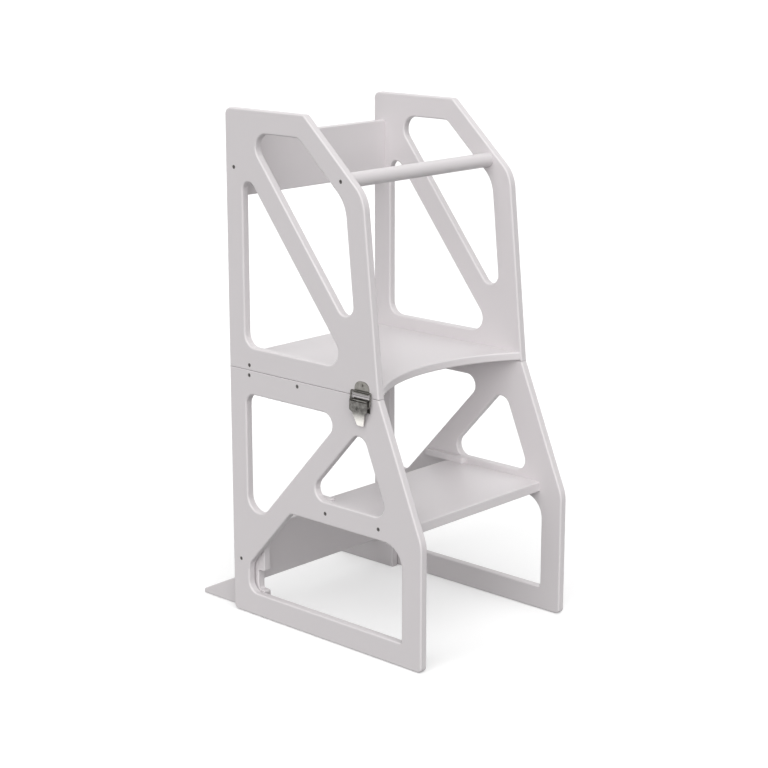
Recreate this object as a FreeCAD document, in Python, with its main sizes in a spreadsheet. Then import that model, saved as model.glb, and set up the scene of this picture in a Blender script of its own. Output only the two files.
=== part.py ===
import FreeCAD, Part
import math
import os
import Sketcher

# Toddler kitchen helper stool: a lower frame with a step and a ledge, and an
# upper frame with the standing platform, hinged at the rear of the seam so
# that the upper frame folds back and stands behind the lower one.
#
# Millimetres. Z is up, the child faces -Y when standing at the counter edge,
# the origin lies on the floor under the middle of the bounding box.
# Depths are measured forward from the rear edge of the side panels.

Vector = FreeCAD.Vector
Placement = FreeCAD.Placement
Rotation = FreeCAD.Rotation

# ---------------------------------------------------------------- sizes
SIZES = [
    # side panels
    ("total_height", 900.0),
    ("overall_width", 385.0),
    ("sheet", 15.0),
    ("edge_round", 3.0),
    ("board_round", 2.0),
    ("seam_depth", 355.0),
    ("top_depth", 188.0),
    ("shoulder_depth", 322.0),
    ("shoulder_drop", 122.0),
    ("foot_depth", 450.0),
    ("knee_height", 222.0),
    ("knee_round", 60.0),
    ("top_rear_round", 12.0),
    ("top_front_round", 10.0),
    ("foot_round", 9.0),
    # rails and braces of the upper panels
    ("top_rail", 39.0),
    ("slant_rail", 37.5),
    ("front_post", 42.0),
    ("rear_post", 40.0),
    ("seam_rail_upper", 40.5),
    ("upper_brace", 41.0),
    ("upper_brace_drop", 11.0),
    ("upper_brace_depth", 347.0),
    # rails and braces of the lower panels
    ("seam_rail_lower", 43.0),
    ("bottom_rail", 42.0),
    ("toe_post", 44.0),
    ("slope_rail", 57.5),
    ("step_rail_low", 210.0),
    ("step_rail_high", 250.0),
    ("lower_brace", 38.0),
    ("lower_brace_height", 77.0),
    ("lower_brace_depth", 338.0),
    # rounds inside the openings
    ("round_tight", 4.0),
    ("round_small", 15.0),
    ("round_tip", 18.0),
    ("round_mid", 20.0),
    ("round_wide", 24.0),
    ("round_brace", 28.0),
    ("round_large", 30.0),
    ("round_post", 40.0),
    # boards
    ("platform_depth", 352.0),
    ("platform_dip", 57.0),
    ("ledge_depth", 215.0),
    ("step_rear", 190.0),
    ("step_front", 402.0),
    ("step_low", 220.5),
    ("step_sheet", 18.0),
    ("back_board_rear", 12.5),
    ("upper_back_drop", 150.0),
    ("upper_back_height", 100.0),
    ("lower_back_low", 50.0),
    ("lower_back_height", 98.5),
    # guard bar, placed from the slanted front edge of the upper panel
    ("bar_diameter", 25.0),
    ("bar_along", 130.0),
    ("bar_inset", 18.0),
    # foot boards
    ("foot_gap", 2.0),
    ("foot_base", 49.0),
    ("foot_front", 62.0),
    ("toe_length", 100.0),
    ("toe_flat", 18.0),
    ("toe_nose", 8.0),
    ("nose_round", 6.0),
    ("notch_depth", 15.5),
    ("notch_low", 43.0),
    ("notch_top", 79.0),
    ("foot_corner", 4.0),
    # cleats on the step
    ("cleat_width", 12.0),
    ("cleat_height", 12.0),
    ("cleat_rear", 142.0),
    ("cleat_front", 230.0),
    # board screws, set in from the rear and front edges of their boards
    ("platform_screw_rear", 50.0),
    ("platform_screw_front", 42.0),
    ("ledge_screw_rear", 49.0),
    ("ledge_screw_front", 48.0),
    ("step_screw_rear", 41.0),
    ("step_screw_front", 48.0),
    ("foot_screw_low", 39.0),
    ("foot_screw_high", 20.0),
    ("screw_shank", 5.0),
    ("screw_head", 7.0),
    ("screw_head_deep", 3.0),
    ("screw_sunk", 0.5),
    ("screw_length", 50.0),
    ("screw_clearance", 0.05),
    ("screw_socket", 3.0),
    ("foot_screw_shank", 4.0),
    ("foot_screw_length", 42.0),
    ("bore_past_tip", 1.0),
    # butt hinges
    ("leaf_length", 60.0),
    ("leaf_depth", 25.0),
    ("leaf_sheet", 1.5),
    ("knuckle", 6.0),
    ("hinge_pin", 3.0),
    ("hinge_running_fit", 0.05),
    ("hinge_gap", 0.3),
    ("hinge_offset", 110.0),
    ("hinge_screw_shank", 3.0),
    ("hinge_screw_head", 6.0),
    ("hinge_screw_head_deep", 1.0),
    ("hinge_screw_length", 12.0),
    ("hinge_screw_spacing", 40.0),
    ("hinge_screw_depth", 15.0),
    # toggle latches: heights are taken from the seam, outward from the panel
    ("latch_depth", 319.0),
    ("latch_sheet", 1.5),
    ("latch_base_drop", 3.0),
    ("latch_base_height", 22.0),
    ("latch_axis_drop", 6.0),
    ("latch_axis_out", 6.0),
    ("latch_eccentric", 7.0),
    ("latch_pin", 3.0),
    ("latch_fit", 0.05),
    ("latch_gap", 0.3),
    ("ear_round", 3.0),
    ("ear_spread", 5.0),
    ("ear_slope", 30.0),
    ("cheek_round", 3.2),
    ("lever_width", 39.4),
    ("lever_web_out", 9.3),
    ("lever_web_drop", 1.0),
    ("lever_bend_drop", 16.0),
    ("lever_neck_drop", 20.0),
    ("lever_neck_width", 28.0),
    ("lever_tab_drop", 39.0),
    ("lever_length", 42.5),
    ("lever_tip_width", 16.0),
    ("lever_tip_out", 4.0),
    ("lever_tip_round", 3.0),
    ("loop_wire", 3.0),
    ("loop_bend", 2.25),
    ("loop_width", 47.0),
    ("loop_rise", 9.0),
    ("catch_width", 32.0),
    ("catch_rise", 26.0),
    ("catch_round", 13.0),
    ("catch_shelf", 5.5),
    ("latch_screw_shank", 3.0),
    ("latch_screw_head", 5.5),
    ("latch_screw_head_deep", 1.4),
    ("latch_screw_length", 12.0),
    ("catch_screw_rise", 19.5),
    ("base_screw_drop", 16.0),
    ("base_screw_spacing", 20.0),
]

doc = FreeCAD.newDocument("helper_stool")
sheet = doc.addObject("Spreadsheet::Sheet", "sizes")
for row, (alias, value) in enumerate(SIZES, start=1):
    sheet.set("A%d" % row, alias)
    sheet.set("B%d" % row, str(value))
    sheet.setAlias("B%d" % row, alias)
doc.recompute()


def size(alias):
    """Value of one named cell of the sheet."""
    return float(sheet.get(alias))


# ------------------------------------------------------- derived places
HALF_WIDTH = size("overall_width") / 2.0
SHEET = size("sheet")
INNER = HALF_WIDTH - SHEET
TOP = size("total_height")
# the folded half stands on its own top edges, so the seam is at mid height
SEAM = TOP / 2.0
# the side panels and the toes share the middle of the bounding box
REAR = (size("foot_depth") - size("toe_length")) / 2.0
LEAF = size("leaf_sheet")
PLATFORM_LOW = SEAM + LEAF
LEDGE_LOW = SEAM - LEAF - SHEET
CROWN = (size("top_depth"), TOP)
SHOULDER = (size("shoulder_depth"), TOP - size("shoulder_drop"))
KNEE = (size("foot_depth"), size("knee_height"))
SEAM_FRONT = (size("seam_depth"), SEAM)
LEFT = -1
RIGHT = 1
SIDES = (("left", LEFT), ("right", RIGHT))


def at_depth(depth):
    """Y of a point this far forward of the panels' rear edge."""
    return REAR - depth


# --------------------------------------------------------- plane figures
def line(start, end, shift=0.0):
    """Line through two points, moved to its left by shift."""
    run = Vector(end[0] - start[0], end[1] - start[1], 0)
    run.normalize()
    side = Vector(-run.y, run.x, 0) * shift
    return Vector(start[0], start[1], 0) + side, run


def meet(first, second):
    """Point where two lines cross."""
    base, run = first
    other, way = second
    spread = run.x * way.y - run.y * way.x
    gap = other - base
    along = (gap.x * way.y - gap.y * way.x) / spread
    hit = base + run * along
    return hit.x, hit.y


def above(height):
    """Horizontal line with the gap over it."""
    return Vector(0, height, 0), Vector(1, 0, 0)


def below(height):
    """Horizontal line with the gap under it."""
    return Vector(0, height, 0), Vector(-1, 0, 0)


def ahead_of(depth):
    """Vertical line with the gap in front of it."""
    return Vector(depth, 0, 0), Vector(0, -1, 0)


def behind(depth):
    """Vertical line with the gap behind it."""
    return Vector(depth, 0, 0), Vector(0, 1, 0)


def gap_inside(bounds, rounds):
    """Corners and rounds of the gap that lies left of all these named lines.

    A round is looked up by the names of the two lines that meet there.
    """
    far = 10.0 * TOP
    ring = [((-far, -far), None), ((far, -far), None),
            ((far, far), None), ((-far, far), None)]
    for name, bound in bounds.items():
        base, run = bound
        kept = []
        for (here, side), (ahead, _) in zip(ring, ring[1:] + ring[:1]):
            depths = [run.x * (p[1] - base.y) - run.y * (p[0] - base.x)
                      for p in (here, ahead)]
            if depths[0] > 0:
                kept.append((here, side))
            if (depths[0] > 0) != (depths[1] > 0):
                cross = meet(line(here, ahead), bound)
                kept.append((cross, name if depths[0] > 0 else side))
        ring = kept
    corners = [point for point, side in ring]
    names = [side for point, side in ring]
    pairs = [frozenset((names[i - 1], names[i])) for i in range(len(names))]
    return corners, [rounds.get(pair, "round_mid") for pair in pairs]


def pair(first, second):
    """Key of the corner where two named lines meet."""
    return frozenset((first, second))


def on_panel(figure):
    """Depth and height pairs as Y and Z pairs."""
    return [(at_depth(depth), height) for depth, height in figure]


# ------------------------------------------------------ sketch features
def new_body(label):
    """Empty body that carries the name of its piece."""
    body = doc.addObject("PartDesign::Body", label)
    body.Label = label
    return body


def plane_of(body, role):
    """One of the body's own origin planes."""
    return next(f for f in body.Origin.OriginFeatures if f.Role == role)


def new_sketch(body, role, offset=0.0):
    """Sketch on an origin plane, moved along the plane's normal."""
    sketch = body.newObject("Sketcher::SketchObject", body.Name + "_outline")
    sketch.AttachmentSupport = [(plane_of(body, role), "")]
    sketch.MapMode = "FlatFace"
    # the XZ plane's normal points to -Y
    along = -offset if role == "XZ_Plane" else offset
    sketch.AttachmentOffset = Placement(Vector(0, 0, along), Rotation())
    return sketch


def bind_radius(sketch, index, alias, radius):
    """Hold one arc to its named radius, or to the radius that its sides allow."""
    number = sketch.addConstraint(Sketcher.Constraint("Radius", index, radius))
    if abs(radius - size(alias)) < 1e-6:
        sketch.setExpression("Constraints[%d]" % number, "sizes." + alias)


def pin_point(sketch, index, point):
    """Hold a point of the sketch at its place from the origin."""
    sketch.addConstraint(
        Sketcher.Constraint("DistanceX", -1, 1, index, 1, point[0]))
    sketch.addConstraint(
        Sketcher.Constraint("DistanceY", -1, 1, index, 1, point[1]))


def round_reaches(points, rounds):
    """Half angle and reach of each corner's round, cut down to fit its sides."""
    count = len(points)
    halves = []
    reaches = []
    for i, here in enumerate(points):
        back = points[i - 1] - here
        ahead = points[(i + 1) % count] - here
        halves.append(back.getAngle(ahead) / 2.0)
        radius = size(rounds[i]) if rounds[i] else 0.0
        reaches.append(radius / math.tan(halves[i]))
    fits = []
    for i, here in enumerate(points):
        after = (i + 1) % count
        length = here.distanceToPoint(points[after])
        wanted = reaches[i] + reaches[after]
        fits.append(min(1.0, 0.98 * length / wanted) if wanted else 1.0)
    return halves, [reach * min(fits[i - 1], fits[i])
                    for i, reach in enumerate(reaches)]


def draw_figure(sketch, corners, rounds):
    """Closed figure of straight sides; each corner has a named round or None."""
    count = len(corners)
    points = [Vector(c[0], c[1], 0) for c in corners]
    halves, reaches = round_reaches(points, rounds)
    ends = []
    for i, here in enumerate(points):
        back = (points[i - 1] - here).normalize()
        ahead = (points[(i + 1) % count] - here).normalize()
        if rounds[i] is None:
            ends.append((here, here, None))
            continue
        half = halves[i]
        reach = reaches[i]
        radius = reach * math.tan(half)
        bisector = (back + ahead).normalize()
        centre = here + bisector * (radius / math.sin(half))
        middle = centre - bisector * radius
        arc = Part.Arc(here + back * reach, middle, here + ahead * reach)
        ends.append((here + back * reach, here + ahead * reach, arc))
    sides = []
    for i in range(count):
        start = ends[i][1]
        stop = ends[(i + 1) % count][0]
        sides.append(sketch.addGeometry(Part.LineSegment(start, stop)))
    for i in range(count):
        before = sides[i - 1]
        after = sides[i]
        if ends[i][2] is None:
            sketch.addConstraint(
                Sketcher.Constraint("Coincident", before, 2, after, 1))
            pin_point(sketch, after, corners[i])
            continue
        arc = sketch.addGeometry(ends[i][2])
        # an arc's first end is where it starts counter-clockwise
        first = sketch.getPoint(arc, 1)
        near_back = first.distanceToPoint(ends[i][0]) < 1e-4
        enter = 1 if near_back else 2
        leave = 2 if near_back else 1
        sketch.addConstraint(
            Sketcher.Constraint("Tangent", before, 2, arc, enter))
        sketch.addConstraint(
            Sketcher.Constraint("Tangent", arc, leave, after, 1))
        bind_radius(sketch, arc, rounds[i], reaches[i] * math.tan(halves[i]))
        sharp = sketch.addGeometry(Part.Point(points[i]), True)
        for side in (before, after):
            sketch.addConstraint(
                Sketcher.Constraint("PointOnObject", sharp, 1, side))
        pin_point(sketch, sharp, corners[i])


def draw_circle(sketch, centre, radius):
    """Circle at a place of the sketch."""
    index = sketch.addGeometry(
        Part.Circle(Vector(centre[0], centre[1], 0), Vector(0, 0, 1), radius))
    sketch.addConstraint(
        Sketcher.Constraint("DistanceX", -1, 1, index, 3, centre[0]))
    sketch.addConstraint(
        Sketcher.Constraint("DistanceY", -1, 1, index, 3, centre[1]))
    sketch.addConstraint(Sketcher.Constraint("Radius", index, radius))


def pad(body, sketch, length, reverse=False, midplane=False):
    """Solid raised from a sketch; length is a sheet formula."""
    feature = body.newObject("PartDesign::Pad", body.Name + "_pad")
    feature.Profile = sketch
    feature.setExpression("Length", length)
    feature.Reversed = reverse
    feature.Midplane = midplane
    sketch.Visibility = False
    doc.recompute()
    return feature


def pocket(body, sketch, length, reverse=False, midplane=False):
    """Cut sunk from a sketch; it must take material away."""
    before = body.Shape.Volume
    feature = body.newObject("PartDesign::Pocket", body.Name + "_pocket")
    feature.Profile = sketch
    feature.setExpression("Length", length)
    feature.Reversed = reverse
    feature.Midplane = midplane
    sketch.Visibility = False
    doc.recompute()
    if body.Shape.Volume > before - 1e-3:
        raise ValueError("nothing was cut from " + body.Label)
    return feature


def fillet(body, feature, radius, wanted):
    """Round the edges of a feature that the test picks."""
    names = []
    for number, edge in enumerate(feature.Shape.Edges, start=1):
        if wanted(edge):
            names.append("Edge%d" % number)
    rounded = body.newObject("PartDesign::Fillet", body.Name + "_round")
    rounded.Base = (feature, names)
    rounded.setExpression("Radius", radius)
    doc.recompute()
    return rounded


def lies_at(edge, axis, places, slack=1e-4):
    """True when the whole edge lies at one of these places on an axis."""
    box = edge.BoundBox
    low, high = {
        "x": (box.XMin, box.XMax),
        "y": (box.YMin, box.YMax),
        "z": (box.ZMin, box.ZMax),
    }[axis]
    return any(abs(low - p) < slack and abs(high - p) < slack for p in places)


# ---------------------------------------------------------- side panels
def bar_centre():
    """Depth and height of the guard bar, from the slanted front edge."""
    base, run = line(SHOULDER, CROWN, size("bar_inset"))
    crown_on_line = base + run * Vector(*SHOULDER, 0).distanceToPoint(
        Vector(*CROWN, 0))
    centre = crown_on_line - run * size("bar_along")
    return centre.x, centre.y


def board_screws(rear, front, height, rear_inset, front_inset):
    """Two screws in a board's end, set in from its rear and front edges."""
    return [(rear + size(rear_inset), height),
            (front - size(front_inset), height)]


UPPER_BACK_LOW = TOP - size("upper_back_drop")
BACK_BOARD_MIDDLE = size("back_board_rear") + SHEET / 2.0
PLATFORM_SCREWS = board_screws(
    0.0, size("platform_depth"), PLATFORM_LOW + SHEET / 2.0,
    "platform_screw_rear", "platform_screw_front")
UPPER_BACK_SCREWS = [
    (BACK_BOARD_MIDDLE, UPPER_BACK_LOW + size("upper_back_height") / 2.0)]
BAR_SCREWS = [bar_centre()]
LEDGE_SCREWS = board_screws(
    0.0, size("ledge_depth"), LEDGE_LOW + SHEET / 2.0,
    "ledge_screw_rear", "ledge_screw_front")
STEP_SCREWS = board_screws(
    size("step_rear"), size("step_front"),
    size("step_low") + size("step_sheet") / 2.0,
    "step_screw_rear", "step_screw_front")
LOWER_BACK_SCREWS = [
    (BACK_BOARD_MIDDLE,
     size("lower_back_low") + size("lower_back_height") / 2.0)]
UPPER_SCREWS = PLATFORM_SCREWS + UPPER_BACK_SCREWS + BAR_SCREWS
LOWER_SCREWS = LEDGE_SCREWS + STEP_SCREWS + LOWER_BACK_SCREWS


def upper_figures():
    """Outline and two openings of an upper panel, with their rounds."""
    outline = [(0.0, SEAM), (0.0, TOP), CROWN, SHOULDER, SEAM_FRONT]
    half = size("upper_brace") / 2.0
    head = (0.0, TOP - size("upper_brace_drop"))
    foot = (size("upper_brace_depth"), SEAM)
    rear_post = ahead_of(size("rear_post"))
    front_post = line(SEAM_FRONT, SHOULDER, size("front_post"))
    front = gap_inside({
        "brace": line(head, foot, half),
        "top rail": below(TOP - size("top_rail")),
        "slant rail": line(SHOULDER, CROWN, size("slant_rail")),
        "front post": front_post,
        "rear post": rear_post,
    }, {
        pair("brace", "top rail"): "round_wide",
        pair("top rail", "slant rail"): "round_small",
        pair("slant rail", "front post"): "knee_round",
        pair("front post", "brace"): "round_tip",
    })
    rear = gap_inside({
        "brace": line(foot, head, half),
        "seam rail": above(SEAM + size("seam_rail_upper")),
        "front post": front_post,
        "rear post": rear_post,
    }, {
        pair("seam rail", "rear post"): "round_wide",
        pair("rear post", "brace"): "round_small",
        pair("brace", "seam rail"): "round_wide",
    })
    return [
        (outline, [None, "top_rear_round", "top_front_round", "knee_round",
                   None]),
        front,
        rear,
    ]


def lower_figures():
    """Outline and three openings of a lower panel, with their rounds."""
    toe = size("foot_depth")
    outline = [(0.0, 0.0), (0.0, SEAM), SEAM_FRONT, KNEE, (toe, 0.0)]
    half = size("lower_brace") / 2.0
    foot = (0.0, size("lower_brace_height"))
    head = (size("lower_brace_depth"), SEAM)
    rear_post = ahead_of(size("rear_post"))
    seam_rail = below(SEAM - size("seam_rail_lower"))
    slope_rail = line(KNEE, SEAM_FRONT, size("slope_rail"))
    top = gap_inside({
        "brace": line(foot, head, half),
        "seam rail": seam_rail,
        "slope rail": slope_rail,
        "rear post": rear_post,
    }, {
        pair("rear post", "brace"): "round_brace",
    })
    middle = gap_inside({
        "brace": line(head, foot, half),
        "step rail": above(size("step_rail_high")),
        "seam rail": seam_rail,
        "slope rail": slope_rail,
    }, {})
    bottom = gap_inside({
        "brace": line(head, foot, half),
        "step rail": below(size("step_rail_low")),
        "front post": behind(toe - size("toe_post")),
        "bottom rail": above(size("bottom_rail")),
        "rear post": rear_post,
    }, {
        pair("rear post", "brace"): "round_large",
        pair("brace", "step rail"): "round_small",
        pair("step rail", "front post"): "round_post",
        pair("front post", "bottom rail"): "round_tight",
    })
    return [
        (outline, ["foot_round", None, None, "knee_round", "foot_round"]),
        top,
        middle,
        bottom,
    ]


def side_panel(label, side, figures, screws):
    """One cut side panel with rounded edges and sunk screw holes."""
    body = new_body(label)
    inward = side == RIGHT
    sketch = new_sketch(body, "YZ_Plane")
    for corners, rounds in figures:
        draw_figure(sketch, on_panel(corners), rounds)
    blank = pad(body, sketch, "sizes.sheet", reverse=inward)
    faces = (0.0, -side * SHEET)

    def routed(edge):
        return lies_at(edge, "x", faces) and not lies_at(edge, "z", [SEAM])

    fillet(body, blank, "sizes.edge_round", routed)
    loose = size("screw_clearance")
    holes = new_sketch(body, "YZ_Plane")
    heads = new_sketch(body, "YZ_Plane")
    for depth, height in screws:
        place = (at_depth(depth), height)
        draw_circle(holes, place, size("screw_shank") / 2.0 + loose)
        draw_circle(heads, place, size("screw_head") / 2.0 + loose)
    # a pocket runs against its sketch's normal
    outward = side == LEFT
    pocket(body, holes, "sizes.sheet", reverse=outward)
    pocket(body, heads, "sizes.screw_head_deep + sizes.screw_sunk",
           reverse=outward)
    body.Placement = Placement(Vector(side * HALF_WIDTH, 0, 0), Rotation())
    return body


# --------------------------------------------------------------- boards
def end_bores(body, screws, reach):
    """Screw holes sunk into both ends of a board or bar."""
    loose = size("screw_clearance")
    for name, side in SIDES:
        sketch = new_sketch(body, "YZ_Plane", side * reach)
        for depth, height in screws:
            draw_circle(sketch, (at_depth(depth), height),
                        size("screw_shank") / 2.0 + loose)
        deep = ("sizes.screw_length - sizes.sheet + sizes.screw_sunk"
                " + sizes.bore_past_tip")
        pocket(body, sketch, deep, reverse=side == LEFT)


def straight_board(label, corners, screws, rounded):
    """Board between the panels, drawn in section and padded across."""
    body = new_body(label)
    sketch = new_sketch(body, "YZ_Plane")
    draw_figure(sketch, on_panel(corners), [None] * len(corners))
    blank = pad(body, sketch, "sizes.overall_width - 2 * sizes.sheet",
                midplane=True)
    fillet(body, blank, "sizes.board_round",
           lambda edge: abs(edge.BoundBox.XLength) > INNER and rounded(edge))
    end_bores(body, screws, INNER)
    return body


def box_corners(rear, front, low, high):
    """Section of a plain board between two depths and two heights."""
    return [(rear, low), (rear, high), (front, high), (front, low)]


def platform_board():
    """Standing platform with a front edge that curves in."""
    body = new_body("platform_board")
    rear = at_depth(0.0)
    front = at_depth(size("platform_depth"))
    dip = size("platform_dip")
    sketch = new_sketch(body, "XY_Plane", PLATFORM_LOW)
    tips = [Vector(-INNER, front, 0), Vector(INNER, front, 0)]
    back = [Vector(INNER, rear, 0), Vector(-INNER, rear, 0)]
    crown = Vector(0, front + dip, 0)
    curve = sketch.addGeometry(Part.Arc(tips[0], crown, tips[1]))
    right = sketch.addGeometry(Part.LineSegment(tips[1], back[0]))
    rearward = sketch.addGeometry(Part.LineSegment(back[0], back[1]))
    left = sketch.addGeometry(Part.LineSegment(back[1], tips[0]))
    starts_left = sketch.getPoint(curve, 1).x < 0
    to_left = 1 if starts_left else 2
    to_right = 2 if starts_left else 1
    for joint in ((left, 2, curve, to_left), (curve, to_right, right, 1),
                  (right, 2, rearward, 1), (rearward, 2, left, 1)):
        sketch.addConstraint(Sketcher.Constraint("Coincident", *joint))
    pin_point(sketch, right, (INNER, front))
    pin_point(sketch, rearward, (INNER, rear))
    pin_point(sketch, left, (-INNER, rear))
    radius = (INNER ** 2 + dip ** 2) / (2.0 * dip)
    sketch.addConstraint(Sketcher.Constraint("Radius", curve, radius))
    sketch.addConstraint(
        Sketcher.Constraint("DistanceX", -1, 1, curve, to_left, -INNER))
    sketch.addConstraint(
        Sketcher.Constraint("DistanceY", -1, 1, curve, to_left, front))
    pad(body, sketch, "sizes.sheet")
    end_bores(body, PLATFORM_SCREWS, INNER)
    return body


def guard_bar():
    """Round bar across the front of the upper frame."""
    body = new_body("guard_bar")
    sketch = new_sketch(body, "YZ_Plane")
    depth, height = bar_centre()
    draw_circle(sketch, (at_depth(depth), height), size("bar_diameter") / 2.0)
    pad(body, sketch, "sizes.overall_width - 2 * sizes.sheet", midplane=True)
    end_bores(body, BAR_SCREWS, INNER)
    return body


FOOT_OUTER = INNER - size("foot_gap")
FOOT_MIDDLE = FOOT_OUTER - SHEET / 2.0
BOARD_FRONT = size("back_board_rear") + SHEET
LOWER_BACK_TOP = size("lower_back_low") + size("lower_back_height")
FOOT_SCREW_HEIGHTS = (size("lower_back_low") + size("foot_screw_low"),
                      LOWER_BACK_TOP - size("foot_screw_high"))


def foot_board(label, side):
    """Toe that reaches out behind, with an upright against the back board."""
    body = new_body(label)
    base = size("foot_base")
    front = size("foot_front")
    inset = front - size("notch_depth")
    profile = [
        (front, 0.0), (front, size("notch_low")), (inset, size("notch_low")),
        (inset, size("notch_top")), (front, size("notch_top")),
        (front, LOWER_BACK_TOP), (BOARD_FRONT, LOWER_BACK_TOP),
        (BOARD_FRONT, base), (-size("toe_flat"), base),
        (-size("toe_length"), size("toe_nose")), (-size("toe_length"), 0.0),
    ]
    rounds = [None, "foot_corner", "foot_corner", "foot_corner",
              "foot_corner", "foot_corner", None, None, "round_large",
              "nose_round", None]
    middle = side * FOOT_MIDDLE
    sketch = new_sketch(body, "YZ_Plane", middle)
    draw_figure(sketch, on_panel(profile), rounds)
    blank = pad(body, sketch, "sizes.sheet", midplane=True)
    faces = (middle - SHEET / 2.0, middle + SHEET / 2.0)
    fillet(body, blank, "sizes.board_round",
           lambda edge: lies_at(edge, "x", faces)
           and not lies_at(edge, "y", [at_depth(BOARD_FRONT)]))
    bores = new_sketch(body, "XZ_Plane", at_depth(BOARD_FRONT))
    for height in FOOT_SCREW_HEIGHTS:
        draw_circle(bores, (middle, height),
                    size("foot_screw_shank") / 2.0 + size("screw_clearance"))
    deep = "sizes.foot_screw_length - sizes.sheet + sizes.bore_past_tip"
    pocket(body, bores, deep, reverse=True)
    return body


def lower_back_board():
    """Board low at the rear, bored for the panels' and the toes' screws."""
    low = size("lower_back_low")
    rear = size("back_board_rear")
    corners = box_corners(rear, BOARD_FRONT, low, LOWER_BACK_TOP)
    body = straight_board("lower_back_board", corners, LOWER_BACK_SCREWS,
                          lambda edge: True)
    loose = size("screw_clearance")
    holes = new_sketch(body, "XZ_Plane", at_depth(rear))
    heads = new_sketch(body, "XZ_Plane", at_depth(rear))
    for name, side in SIDES:
        for height in FOOT_SCREW_HEIGHTS:
            place = (side * FOOT_MIDDLE, height)
            draw_circle(holes, place, size("foot_screw_shank") / 2.0 + loose)
            draw_circle(heads, place, size("screw_head") / 2.0 + loose)
    pocket(body, holes, "sizes.sheet", reverse=True)
    pocket(body, heads, "sizes.screw_head_deep + sizes.screw_sunk",
           reverse=True)
    return body


def step_cleat(label, side):
    """Small batten on the step, against the panel, with a round front end."""
    body = new_body(label)
    width = size("cleat_width")
    top_of_step = size("step_low") + size("step_sheet")
    sketch = new_sketch(body, "XY_Plane", top_of_step)
    inner = side * (INNER - width)
    outer = side * INNER
    corners = [(outer, at_depth(size("cleat_rear"))),
               (inner, at_depth(size("cleat_rear"))),
               (inner, at_depth(size("cleat_front"))),
               (outer, at_depth(size("cleat_front")))]
    draw_figure(sketch, corners, [None, None, "foot_corner", None])
    blank = pad(body, sketch, "sizes.cleat_height")
    crown = top_of_step + size("cleat_height")
    fillet(body, blank, "sizes.board_round",
           lambda edge: lies_at(edge, "z", [crown])
           and not lies_at(edge, "x", [outer]))
    return body


# --------------------------------------------------------------- screws
def screw_solid(tip, way, shank, head, head_deep, length, socket):
    """Screw from its head's outer centre, along way, with a hex socket."""
    stem = Part.makeCylinder(shank / 2.0, length, tip, way)
    cap = Part.makeCylinder(head / 2.0, head_deep, tip, way)
    across = socket / math.sqrt(3.0)
    ring = [Vector(across * math.cos(math.radians(60 * k)),
                   across * math.sin(math.radians(60 * k)), 0)
            for k in range(7)]
    key = Part.Face(Part.makePolygon(ring)).extrude(Vector(0, 0, head_deep * 0.7))
    key.Placement = Placement(tip, Rotation(Vector(0, 0, 1), way))
    return stem.fuse(cap).removeSplitter().cut(key)


def group(label, solids):
    """Like pieces kept as separate solids under one name."""
    feature = doc.addObject("Part::Feature", label)
    feature.Label = label
    feature.Shape = Part.makeCompound(solids)
    feature.Placement = Placement()
    return feature


def panel_screws(label, places):
    """Screws driven through both side panels into the boards' ends."""
    solids = []
    sunk = size("screw_sunk")
    for name, side in SIDES:
        for depth, height in places:
            tip = Vector(side * (HALF_WIDTH - sunk), at_depth(depth), height)
            solids.append(screw_solid(
                tip, Vector(-side, 0, 0), size("screw_shank"),
                size("screw_head"), size("screw_head_deep"),
                size("screw_length"), size("screw_socket")))
    return group(label, solids)


def foot_screws():
    """Screws driven forward through the lower back board into the toes."""
    solids = []
    start = at_depth(size("back_board_rear")) - size("screw_sunk")
    for name, side in SIDES:
        for height in FOOT_SCREW_HEIGHTS:
            tip = Vector(side * FOOT_MIDDLE, start, height)
            solids.append(screw_solid(
                tip, Vector(0, -1, 0), size("foot_screw_shank"),
                size("screw_head"), size("screw_head_deep"),
                size("foot_screw_length"), size("screw_socket")))
    return group("foot_screws", solids)


# --------------------------------------------------------------- hinges
PIN_Y = at_depth(0.0) + size("knuckle") / 2.0
HINGE_SCREW_ROWS = (-size("hinge_screw_spacing") / 2.0,
                    size("hinge_screw_spacing") / 2.0)
HINGE_SCREW_Y = at_depth(size("hinge_screw_depth"))


def knuckle_spans():
    """Three equal stretches of the barrel: outer, inner, outer."""
    length = size("leaf_length")
    third = length / 3.0
    gap = size("hinge_gap") / 2.0
    return [(-length / 2.0, -third / 2.0 - gap),
            (-third / 2.0 + gap, third / 2.0 - gap),
            (third / 2.0 + gap, length / 2.0)]


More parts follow.
